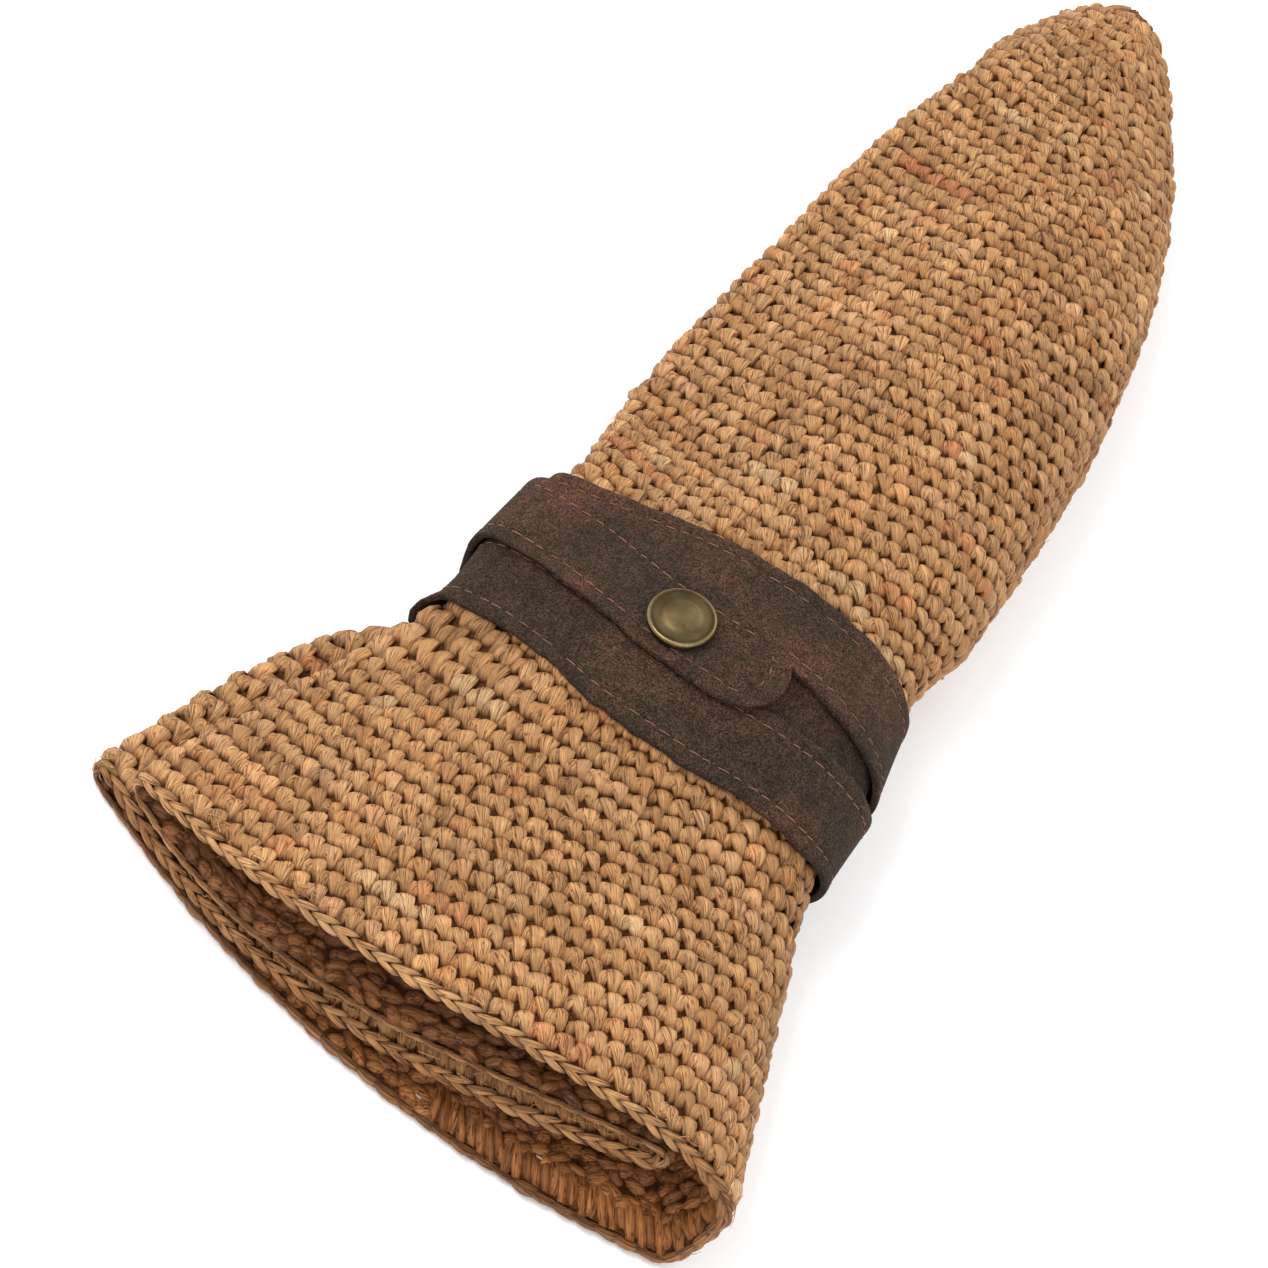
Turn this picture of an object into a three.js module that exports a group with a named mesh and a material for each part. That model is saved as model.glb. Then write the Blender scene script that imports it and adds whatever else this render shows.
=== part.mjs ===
// A crocheted raffia hat, folded lengthwise into a trumpet-shaped roll and held by a wound suede
// strap with a snap. Millimetres, +Z up. The roll lies on its flat underside along Y, with its
// mouth (the brim's edge) at -Y and its tip (the middle of the crown) at +Y.
//
// Every cross-section of the roll is one closed line, the middle of the raffia wall. It runs over
// the top panel, down round the right-hand bend, back under the bottom panel to the lower fold,
// in along the lower inner panel to the inner bend, and out again to the upper fold.

import * as THREE from 'three';

// Driving dimensions of the raffia body
const WALL = 3.0;
const MOUTH_START = 1.9;
const MOUTH_Y = -148.12;
const ROLL_X = -0.04;
const SECTION_COUNT = 30;
const TIP_OVERRUN = 1.4;

// Driving dimensions of the suede strap
const STRAP_WIDTH = 18;
const STRAP_THICKNESS = 1.4;
const LAYER = STRAP_THICKNESS + 0.3;
const STRAP_CLEARANCE = 0.6;
const STRAP_START = -9 / 96;
const STRAP_TURN_STEP = 1 / 96;
const TONGUE_END = 3.095;
const TONGUE_ROUNDING = 0.045;
const TONGUE_CUTS = 6;
const TONGUE_SWEEP = 0.93;

// Driving dimensions of the snap
const CAP_RADIUS = 6.4;
const CAP_HEIGHT = 2.5;
const CAP_RIM = 0.7;
const CAP_RIM_TOP = 1.12;
const CAP_SHOULDER = 1.68;
const CAP_TURN = -0.05;
const CAP_ALONG = 90.4;
const STUD_RADIUS = 2.6;
const STUD_HEIGHT = 2.35;
const DOME_EDGE = 0.55;
const DOME_RISE = 0.25;
const SEAT_GAP = 0.33;
const TURNED_SIDES = 32;

// The roll's section at a few distances from the mouth. All lengths are in mm from the floor and
// from the roll's own long axis, and refer to the middle of the wall.
//   along      distance from the mouth, at the middle of the panel
//   left       the lower fold's leftmost point
//   right      the right-hand bend's outermost point
//   top        height of the top panel's highest line
//   crest      sideways place of that line
//   floor      height of the bottom panel
//   foot       how far in from the right the bend leaves the bottom panel
//   upperX/Z   the upper fold's leftmost point and height
//   innerX/Z   the inner bend's rightmost point and height
//   bow        how far the rows at the sides lie back from the row's middle
//   lowBow     the same at the bottom panel
//   lowShift   how far right of the row's middle the bottom panel's own middle lies
//   lean       how far the rows lean to the mouth for each mm of height
//   parting    degrees that the second panel leaves the upper fold lower than the top panel joins it
//   arch       degrees that the second panel is bent down where it joins the inner bend
//   sway       how far the rows of the upper panels wave along the roll, left to right
//   plain      0 where the hat is folded in, 1 where it is one plain oval
const COLUMNS = ['along', 'left', 'right', 'top', 'crest', 'floor', 'foot', 'upperX', 'upperZ',
  'innerX', 'innerZ', 'bow', 'lowBow', 'lowShift', 'lean', 'parting', 'arch', 'sway', 'plain'];
const SECTIONS = [
  [0, -67.6, 67.6, 31.8, 16, 1.5, 5, -60.5, 12.9, 53, 22, 14, 11, 8, -0.02, 26, 10, 6.5, 0],
  [30, -58.4, 57.4, 32.6, 17, 1.5, 11, -50, 13.2, 44, 20.6, 13, 11, 6, -0.03, 16, 6, 4.2, 0],
  [52, -49, 49.8, 33.4, 18, 1.5, 15, -42.4, 13.4, 36, 19, 12, 11, 3, 0, 6, 2, 1, 0],
  [60, -41.6, 46.6, 34.2, 18, 4.2, 16, -38.8, 15.8, 33, 19.4, 11.8, 11, 1, 0.02, 2, 0, 0.3, 0],
  [67, -33.6, 44.2, 34.9, 18, 7.4, 17, -34.6, 18.6, 30, 20, 11.5, 11, 0, 0.04, 0, 0, 0, 0],
  [76, -31.4, 42.8, 35.5, 18, 7.9, 17.5, -34.2, 19.2, 29, 20.2, 10.6, 10.6, 0, 0.06, 0, 0, 0, 0],
  [98, -30.2, 40.4, 35.9, 18, 7.9, 18, -32.8, 19.2, 27, 20.2, 9.4, 9.4, 0, 0.08, 0, 0, 0, 0],
  [110, -29.2, 39.8, 36.1, 18, 7.9, 18, -31.4, 19.2, 26, 20.2, 8.8, 8.8, 0, 0.1, 0, 0, 0, 0],
  [118, -31, 40, 36.4, 18, 6.6, 18.6, -31.6, 18, 26, 20, 8.5, 8.5, 0, 0.1, 0, 0, 0, 0],
  [134, -32, 43, 37.5, 18, 1.5, 22, -32, 13.4, 25, 18.2, 8, 8, 0, 0.1, 0, 0, 0, 0],
  [180, -29, 41.5, 37, 17, 1.5, 21.8, -29, 12.6, 20, 17, 7, 7, 0, 0.15, 0, 0, 0, 0],
  [215, -26, 36.8, 34.5, 14, 1.5, 20.5, -26, 12.6, 8, 15, 6, 6, 0, 0.2, 0, 0, 0, 0],
  [240, -23.4, 30.6, 31.2, 10, 1.5, 18, -23.4, 12.6, -6, 12.6, 5, 5, 0, 0.3, 0, 0, 0, 0.35],
  [260, -18.8, 23, 27.6, 5, 2, 13.6, -18.8, 12.6, -11, 11, 4, 4, 0, 0.45, 0, 0, 0, 0.9],
  [274, -14.2, 16.2, 24.4, 2, 2.9, 9.8, -14.2, 13, -9, 11, 2.5, 2.5, 0, 0.5, 0, 0, 0, 1],
  [283, -10.4, 11, 21.6, 1, 5.2, 6.6, -10.4, 13.4, -6, 12.6, 1.4, 1.4, 0, 0.5, 0, 0, 0, 1],
  [289, -6.5, 6.6, 18.6, 0, 8.6, 4, -6.5, 13.8, -4, 13, 0.7, 0.7, 0, 0.5, 0, 0, 0, 1],
  [291.6, -2.3, 2.4, 16.2, 0, 11.8, 1.6, -2.3, 14.4, -1, 14.2, 0.2, 0.2, 0, 0.5, 0, 0, 0, 1],
];

// The three folds' radius and the directions, in degrees, that they point in
const FOLD_RADIUS = 2.2;
const UPPER_FOLD_TURN = 205;
const INNER_BEND_TURN = 12;
const LOWER_FOLD_TURN = 180;

// How many pieces each stretch of the section is cut into
const BEND_CUTS = 7;
const PANEL_CUTS = 9;
const FOLD_CUTS = 5;

// The plain oval's left end, as a share of its height, and the angles where its stretches meet
const OVAL_END = 0.4;
const OVAL_DROP = 0.05;
const OVAL_ANGLES = [105, 150, 172, 188, 210, 255];

// A Bezier handle this long, as a share of the radius, draws a quarter of an ellipse
const QUARTER = 0.5523;
const PANEL_HANDLE = 0.33;
const TOP_PANEL_HANDLE = 0.4;

// The right-hand bend's outermost point, as a share of the roll's height
const RIGHT_BEND_HEIGHT = 0.46;

// The rows bow round a middle that lies this far right of the roll's own
const BOW_MIDDLE = 4;

// The wave in the rows: its level over the top panel, and how suddenly it ends at the bottom panel
const SWAY_LEVEL = 0.45;
const SWAY_END = 8;

// The sections draw closer together to the tip by this share of the length
const SECTION_CROWDING = 0.12;

// The strap's way round the roll, one row for each place that it is led over.
//   turn       how far round, in turns, clockwise from straight up as seen from the mouth
//   middle     distance of the strap's middle from the mouth
//   tipSide    layers under the edge nearer the tip
//   mouthSide  layers under the edge nearer the mouth
const STRAP_COLUMNS = ['turn', 'middle', 'tipSide', 'mouthSide'];
const STRAP_WAY = [
  [-0.10, 93.5, 0, 0],
  [0.25, 93.5, 0, 0],
  [0.50, 99.5, 0, 0],
  [0.75, 105.7, 0, 0],
  [0.84, 105.7, 0.05, 0.4],
  [0.89, 105.7, 0.35, 1.5],
  [1.25, 105.7, 0.35, 1.5],
  [1.30, 104.5, 0.6, 1.4],
  [1.38, 101, 1.15, 1.2],
  [1.62, 91.5, 1.2, 1.15],
  [1.71, 87.6, 1.2, 0.6],
  [1.76, 86.6, 0.25, 0],
  [1.82, 82.6, 0.25, 0],
  [1.88, 79.2, 1.5, 0.25],
  [1.96, 77.7, 1.3, 0.25],
  [2.06, 77.4, 1.25, 0.3],
  [2.18, 81.2, 1.5, 0.45],
  [2.25, 85.4, 1.9, 0.6],
  [2.30, 87.4, 2.5, 1.4],
  [2.38, 90.5, 2.5, 2.2],
  [2.50, 95.5, 2.4, 2.4],
  [2.62, 99.5, 2.35, 2.4],
  [2.70, 101.4, 2, 2.4],
  [2.75, 101.8, 1.3, 1.6],
  [2.80, 98.8, 1.35, 1.65],
  [2.85, 95, 2, 2.2],
  [2.90, 92.2, 2.6, 2.75],
  [2.95, 90.9, 2.65, 2.6],
  [3.00, 90.6, 2.65, 2.5],
  [3.13, 90.6, 2.65, 2.5],
];

// The axis that the strap is wound round, and the cuts that its outlines are taken at
const AXIS_X = 5.5;
const AXIS_Z = 21;
const REACH_DIRECTIONS = 180;
const LEAST_FACING = 0.05;
const CUT_FIRST = 64;
const CUT_LAST = 124;
const CUT_STEP = 4;

// The sections that those cuts are read from; the rows bow, so they reach past the cuts
const RINGS_FIRST = 40;
const RINGS_LAST = 132;
const RINGS_STEP = 2;

const radians = THREE.MathUtils.degToRad;
const heading = (degrees) => new THREE.Vector2(Math.cos(radians(degrees)), Math.sin(radians(degrees)));

// A row of a table, at any place between its rows, on smooth curves through its values
function readTable(table, names, place) {
  const last = table.length - 2;
  const found = table.findIndex((row) => row[0] > place);
  const low = found < 0 ? last : Math.max(0, Math.min(last, found - 1));
  const rate = (a, b, column) => (table[b][column] - table[a][column]) / (table[b][0] - table[a][0]);
  const slope = (row, column) => {
    if (row === 0) return rate(0, 1, column);
    if (row === last + 1) return rate(last, last + 1, column);
    const before = rate(row - 1, row, column);
    const after = rate(row, row + 1, column);
    if (before * after <= 0) return 0;
    const most = 3 * Math.min(Math.abs(before), Math.abs(after));
    return Math.sign(before) * Math.min(most, Math.abs(rate(row - 1, row + 1, column)));
  };
  const span = table[low + 1][0] - table[low][0];
  const t = (place - table[low][0]) / span;
  const values = names.map((name, column) => {
    const start = table[low][column];
    const end = table[low + 1][column];
    return [name, (2 * t ** 3 - 3 * t ** 2 + 1) * start
      + (t ** 3 - 2 * t ** 2 + t) * span * slope(low, column)
      + (3 * t ** 2 - 2 * t ** 3) * end
      + (t ** 3 - t ** 2) * span * slope(low + 1, column)];
  });
  return Object.fromEntries(values);
}

// Points along a Bezier curve with a heading and a handle length at each end, without its last point
function panel(start, startHeading, startHandle, end, endHeading, endHandle, cuts) {
  const curve = new THREE.CubicBezierCurve(
    start,
    start.clone().addScaledVector(startHeading, startHandle),
    end.clone().addScaledVector(endHeading, -endHandle),
    end,
  );
  return curve.getPoints(cuts).slice(0, cuts);
}

// Points along a round fold from one angle to another, without its last point
function fold(centre, radius, from, to, cuts) {
  const clockwise = to < from;
  const curve = new THREE.EllipseCurve(
    centre.x, centre.y, radius, radius, radians(from), radians(to), clockwise,
  );
  return curve.getPoints(cuts).slice(0, cuts);
}

// The right-hand bend, which the folded section and the plain oval share
function rightBend(s) {
  const side = new THREE.Vector2(s.right, s.floor + (s.top - s.floor) * RIGHT_BEND_HEIGHT);
  const rise = side.y - s.floor;
  const foot = new THREE.Vector2(s.right - s.foot, s.floor);
  const crest = new THREE.Vector2(s.crest, s.top);
  const lower = panel(foot, heading(0), QUARTER * (side.x - foot.x),
    side, heading(90), QUARTER * rise, BEND_CUTS);
  const upper = panel(side, heading(90), QUARTER * (crest.y - side.y),
    crest, heading(180), QUARTER * (side.x - crest.x), BEND_CUTS);
  return { foot, crest, points: [...lower, ...upper] };
}

// The folded section's other stretches, from the crest back to the bend's foot
function foldedStretches(s, crest, foot) {
  const r = FOLD_RADIUS;
  const upper = new THREE.Vector2(s.upperX + r, s.upperZ);
  const inner = new THREE.Vector2(s.innerX - r, s.innerZ);
  const lower = new THREE.Vector2(s.left + r, s.floor + r);
  const at = (centre, degrees) => centre.clone().addScaledVector(heading(degrees), r);
  const parted = UPPER_FOLD_TURN - s.parting;
  const arched = INNER_BEND_TURN - s.arch;
  const upperIn = at(upper, UPPER_FOLD_TURN - 90);
  const upperOut = at(upper, parted + 90);
  const innerIn = at(inner, arched + 90);
  const innerOut = at(inner, INNER_BEND_TURN - 90);
  const lowerIn = at(lower, LOWER_FOLD_TURN - 90);
  const lowerOut = at(lower, LOWER_FOLD_TURN + 90);
  const reach = (a, b) => PANEL_HANDLE * a.distanceTo(b);
  const top = crest.distanceTo(upperIn);
  return [
    ...panel(crest, heading(180), TOP_PANEL_HANDLE * top,
      upperIn, heading(UPPER_FOLD_TURN), PANEL_HANDLE * top, PANEL_CUTS),
    ...fold(upper, r, UPPER_FOLD_TURN - 90, parted + 90, FOLD_CUTS),
    ...panel(upperOut, heading(parted - 180), reach(upperOut, innerIn),
      innerIn, heading(arched), reach(upperOut, innerIn), PANEL_CUTS),
    ...fold(inner, r, arched + 90, INNER_BEND_TURN - 90, FOLD_CUTS),
    ...panel(innerOut, heading(INNER_BEND_TURN + 180), reach(innerOut, lowerIn),
      lowerIn, heading(LOWER_FOLD_TURN), reach(innerOut, lowerIn), PANEL_CUTS),
    ...fold(lower, r, LOWER_FOLD_TURN - 90, LOWER_FOLD_TURN + 90, FOLD_CUTS),
    ...panel(lowerOut, heading(0), reach(lowerOut, foot),
      foot, heading(0), reach(lowerOut, foot), PANEL_CUTS),
  ];
}

// The same stretches drawn round the left end of a plain oval
function ovalStretches(s, crest, foot) {
  const r = OVAL_END * (s.top - s.floor);
  const middle = (s.top + s.floor) / 2 - OVAL_DROP * (s.top - s.floor);
  const centre = new THREE.Vector2(s.left + r, middle);
  const at = (degrees) => centre.clone().addScaledVector(heading(degrees), r);
  const [first, last] = [OVAL_ANGLES[0], OVAL_ANGLES.at(-1)];
  const top = crest.distanceTo(at(first));
  const bottom = foot.distanceTo(at(last));
  const arcs = OVAL_ANGLES.slice(1).flatMap((angle, index) =>
    fold(centre, r, OVAL_ANGLES[index], angle, index % 2 ? PANEL_CUTS : FOLD_CUTS));
  return [
    ...panel(crest, heading(180), PANEL_HANDLE * top,
      at(first), heading(first + 90), PANEL_HANDLE * top, PANEL_CUTS),
    ...arcs,
    ...panel(at(last), heading(last + 90), PANEL_HANDLE * bottom,
      foot, heading(0), PANEL_HANDLE * bottom, PANEL_CUTS),
  ];
}

// The wall's middle line at one distance from the mouth, in the plane of the section
function middleLine(s) {
  const bend = rightBend(s);
  const folded = foldedStretches(s, bend.crest, bend.foot);
  const oval = ovalStretches(s, bend.crest, bend.foot);
  const share = Math.min(1, Math.max(0, s.plain));
  const rest = folded.map((point, index) => point.clone().lerp(oval[index], share));
  return [...bend.points, ...rest];
}

// The same line moved out (or in, if negative) at right angles to itself
function offsetLine(line, distance) {
  const count = line.length;
  return line.map((point, index) => {
    const run = line[(index + 1) % count].clone().sub(line[(index + count - 1) % count]).normalize();
    return new THREE.Vector2(point.x + run.y * distance, point.y - run.x * distance);
  });
}

// A point of the section set in space: the rows bow, sway and lean with the roll
function setInRoll(s, point) {
  const halfWidth = (s.right - s.left) / 2;
  const depth = 1 - (point.y - s.floor) / (s.top - s.floor);
  const middle = (s.left + s.right) / 2 + BOW_MIDDLE + s.lowShift * depth;
  const across = (point.x - middle) / halfWidth;
  const bow = s.bow + (s.lowBow - s.bow) * depth;
  const place = (point.x - (s.left + s.right) / 2) / halfWidth;
  const lowness = Math.min(1, Math.max(0, depth));
  const wave = SWAY_LEVEL * (1 - lowness) + place - place ** 3;
  const sway = s.sway * wave * (1 - lowness ** SWAY_END);
  const y = s.along + bow * across ** 2 + sway - s.lean * (point.y - (s.top + s.floor) / 2);
  return new THREE.Vector3(point.x + ROLL_X, y + MOUTH_Y, point.y);
}

const sectionAt = (along) => readTable(SECTIONS, COLUMNS, along);

// One skin of the body, as rings of points from the mouth to the tip
function skin(offset, length) {
  const rings = [];
  for (let index = 0; index < SECTION_COUNT; index += 1) {
    const share = index / (SECTION_COUNT - 1);
    const reach = share * (1 + SECTION_CROWDING * Math.sin(Math.PI * share));
    const along = MOUTH_START + (length - MOUTH_START) * reach;
    const s = sectionAt(along);
    rings.push(offsetLine(middleLine(s), offset).map((point) => setInRoll(s, point)));
  }
  return rings;
}

// Triangles between rings of equal size, turned inside out on request
function ringFaces(start, ringCount, size, inward) {
  const faces = [];
  for (let ring = 0; ring < ringCount - 1; ring += 1) {
    for (let index = 0; index < size; index += 1) {
      const a = start + ring * size + index;
      const b = start + ring * size + ((index + 1) % size);
      const quad = [a, b + size, b, a, a + size, b + size];
      faces.push(...(inward ? quad.reverse() : quad));
    }
  }
  return faces;
}

function solid(name, points, faces, material) {
  const geometry = new THREE.BufferGeometry();
  const coordinates = points.flatMap((p) => [p.x, p.y, p.z]);
  geometry.setAttribute('position', new THREE.Float32BufferAttribute(coordinates, 3));
  geometry.setIndex(faces);
  geometry.computeVertexNormals();
  const mesh = new THREE.Mesh(geometry, material);
  mesh.name = name;
  return mesh;
}

const raffia = new THREE.MeshStandardMaterial({ color: 0xbe915f, roughness: 0.75, metalness: 0 });
const suede = new THREE.MeshStandardMaterial({ color: 0x48382f, roughness: 0.95, metalness: 0 });
const brass = new THREE.MeshStandardMaterial({ color: 0x87735a, roughness: 0.35, metalness: 1 });

// The raffia body: an outer and an inner skin, joined round the mouth and closed at the tip
function hatBody() {
  const tip = SECTIONS.at(-1)[0];
  const outer = skin(WALL / 2, tip);
  const inner = skin(-WALL / 2, tip - 2 * WALL);
  const size = outer[0].length;
  const sumOf = (ring) => ring.reduce((sum, p) => sum.add(p), new THREE.Vector3());
  const centreOf = (ring) => sumOf(ring).divideScalar(ring.length);
  const outerPole = centreOf(outer.at(-1)).add(new THREE.Vector3(0, TIP_OVERRUN, 0));
  const innerPole = centreOf(inner.at(-1));
  const points = [...outer.flat(), ...inner.flat(), outerPole, innerPole];
  const innerStart = outer.length * size;
  const poles = innerStart + inner.length * size;
  const faces = [
    ...ringFaces(0, outer.length, size, false),
    ...ringFaces(innerStart, inner.length, size, true),
  ];
  for (let index = 0; index < size; index += 1) {
    const next = (index + 1) % size;
    faces.push(index, innerStart + next, innerStart + index);
    faces.push(index, next, innerStart + next);
    const outerLast = innerStart - size;
    faces.push(outerLast + index, poles, outerLast + next);
    const innerLast = poles - size;
    faces.push(innerLast + next, poles + 1, innerLast + index);
  }
  return solid('hat_body', points, faces, raffia);
}

// The outlines that the strap is wound on: the roll cut square across at some distances from the
// mouth. Each is kept as its reach from the winding axis in every direction.
function windingOutlines() {
  const rings = [];
  for (let along = RINGS_FIRST; along <= RINGS_LAST; along += RINGS_STEP) {
    const s = sectionAt(along);
    rings.push(offsetLine(middleLine(s), WALL / 2).map((point) => setInRoll(s, point)));
  }
  const outlines = [];
  for (let cut = CUT_FIRST; cut <= CUT_LAST; cut += CUT_STEP) {
    const points = rings[0].map((_, index) => {
      const next = rings.findIndex((ring) => ring[index].y > cut + MOUTH_Y);
      const [a, b] = [rings[next - 1][index], rings[next][index]];
      return a.clone().lerp(b, (cut + MOUTH_Y - a.y) / (b.y - a.y));
    });
    const reach = [];
    for (let index = 0; index < REACH_DIRECTIONS; index += 1) {
      const out = heading(90 - (360 * index) / REACH_DIRECTIONS);
      reach.push(Math.max(...points.map((p) => (p.x - AXIS_X) * out.x + (p.z - AXIS_Z) * out.y)));
    }
    outlines.push(reach);
  }
  return outlines;
}

const outlines = windingOutlines();

// A point wound on the roll: at a turn, at a distance from the mouth, and at a height over the raffia
function windingPoint(turn, along, height) {
  const place = Math.min(outlines.length - 1.001, Math.max(0, (along - CUT_FIRST) / CUT_STEP));
  const low = Math.floor(place);
  const share = place - low;
  const out = heading(90 - 360 * turn);
  let radius = Infinity;
  for (let index = 0; index < REACH_DIRECTIONS; index += 1) {
    const facing = heading(90 - (360 * index) / REACH_DIRECTIONS).dot(out);
    const reach = outlines[low][index] * (1 - share) + outlines[low + 1][index] * share + height;
    if (facing > LEAST_FACING) radius = Math.min(radius, reach / facing);
  }
  return new THREE.Vector3(AXIS_X + radius * out.x, along + MOUTH_Y, AXIS_Z + radius * out.y);
}

// The strap: a flat ribbon led round the roll, square at its hidden start and round at its tongue
function strap() {
  const stops = [];
  const straightEnd = TONGUE_END - TONGUE_ROUNDING - STRAP_TURN_STEP / 2;
  for (let turn = STRAP_START; turn < straightEnd; turn += STRAP_TURN_STEP) {
    stops.push([turn, STRAP_WIDTH / 2]);
  }
  for (let index = 0; index <= TONGUE_CUTS; index += 1) {
    const angle = (Math.PI / 2) * (index / TONGUE_CUTS) * TONGUE_SWEEP;
    stops.push([
      TONGUE_END - TONGUE_ROUNDING * (1 - Math.sin(angle)),
      (STRAP_WIDTH / 2) * Math.cos(angle),
    ]);
  }
  const rings = stops.map(([turn, halfWidth]) => {
    const way = readTable(STRAP_WAY, STRAP_COLUMNS, turn);
    const tilt = (way.tipSide - way.mouthSide) / 2;
    const level = (way.tipSide + way.mouthSide) / 2;
    const corner = (side, rise) => windingPoint(
      turn,
      way.middle + side * halfWidth,
      STRAP_CLEARANCE + LAYER * (level + (tilt * side * halfWidth) / (STRAP_WIDTH / 2)) + rise,
    );
    return [corner(-1, 0), corner(-1, STRAP_THICKNESS), corner(1, STRAP_THICKNESS), corner(1, 0)];
  });
  const last = (rings.length - 1) * 4;
  const ends = [0, 1, 2, 0, 2, 3, last, last + 2, last + 1, last, last + 3, last + 2];
  return solid('band', rings.flat(), [...ringFaces(0, rings.length, 4, false), ...ends], suede);
}

// A turned piece of the snap, set square on the winding at a height over the raffia
function turnedPiece(name, profile, height) {
  const geometry = new THREE.LatheGeometry(profile.map(([x, y]) => new THREE.Vector2(x, y)), TURNED_SIDES);
  const mesh = new THREE.Mesh(geometry, brass);
  const ahead = windingPoint(CAP_TURN + STRAP_TURN_STEP, CAP_ALONG, height);
  const run = ahead.sub(windingPoint(CAP_TURN - STRAP_TURN_STEP, CAP_ALONG, height));
  const out = new THREE.Vector3(-run.z, 0, run.x).normalize();
  mesh.name = name;
  mesh.quaternion.setFromUnitVectors(new THREE.Vector3(0, 1, 0), out);
  mesh.position.copy(windingPoint(CAP_TURN, CAP_ALONG, height));
  return mesh;
}

// The strap's layers under the snap, read from the tongue's way
const tongueLevel = (() => {
  const way = readTable(STRAP_WAY, STRAP_COLUMNS, 3 + CAP_TURN);
  return (way.tipSide + way.mouthSide) / 2;
})();

// The low domed cap on the tongue
function snapCap() {
  const profile = [
    [0, 0],
    [CAP_RADIUS - CAP_RIM, 0],
    [CAP_RADIUS, CAP_RIM],
    [CAP_RADIUS, CAP_RIM_TOP],
    [CAP_RADIUS - CAP_RIM, CAP_SHOULDER],
    [CAP_RADIUS * DOME_EDGE, CAP_HEIGHT - DOME_RISE],
    [0, CAP_HEIGHT],
  ];
  const seat = STRAP_CLEARANCE + LAYER * tongueLevel + STRAP_THICKNESS + SEAT_GAP;
  return turnedPiece('snap_cap', profile, seat);
}

// The stud between the strap's start and its tongue, hidden under the cap
function snapStud() {
  const profile = [[0, 0], [STUD_RADIUS, 0], [STUD_RADIUS, STUD_HEIGHT], [0, STUD_HEIGHT]];
  return turnedPiece('snap_stud', profile, STRAP_CLEARANCE + STRAP_THICKNESS + SEAT_GAP);
}

const group = new THREE.Group();
group.add(hatBody(), strap(), snapCap(), snapStud());
export default group;
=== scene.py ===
"""A crocheted raffia hat, folded lengthwise into a trumpet-shaped roll and held by a wound suede
strap with a snap. Shapes are worked out in millimetres, +Z up, and set into the meshes in metres."""

import math

import bpy
import numpy as np
from mathutils import Matrix


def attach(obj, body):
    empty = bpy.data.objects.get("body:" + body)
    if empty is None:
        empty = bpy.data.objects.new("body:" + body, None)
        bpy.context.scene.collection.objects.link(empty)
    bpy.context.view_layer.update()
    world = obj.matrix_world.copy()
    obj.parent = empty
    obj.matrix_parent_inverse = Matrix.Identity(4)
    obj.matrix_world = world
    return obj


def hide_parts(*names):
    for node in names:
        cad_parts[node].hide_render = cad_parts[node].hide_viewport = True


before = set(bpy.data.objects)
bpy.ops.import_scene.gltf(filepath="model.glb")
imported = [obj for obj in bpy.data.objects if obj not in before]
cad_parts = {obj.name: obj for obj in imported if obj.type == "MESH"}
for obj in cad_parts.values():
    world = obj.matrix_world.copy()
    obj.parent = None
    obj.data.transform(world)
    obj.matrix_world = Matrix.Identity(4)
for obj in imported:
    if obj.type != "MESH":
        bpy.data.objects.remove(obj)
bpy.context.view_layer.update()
chance = np.random.default_rng(71)

# ---- the roll, with the same named values as the part's source

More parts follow.
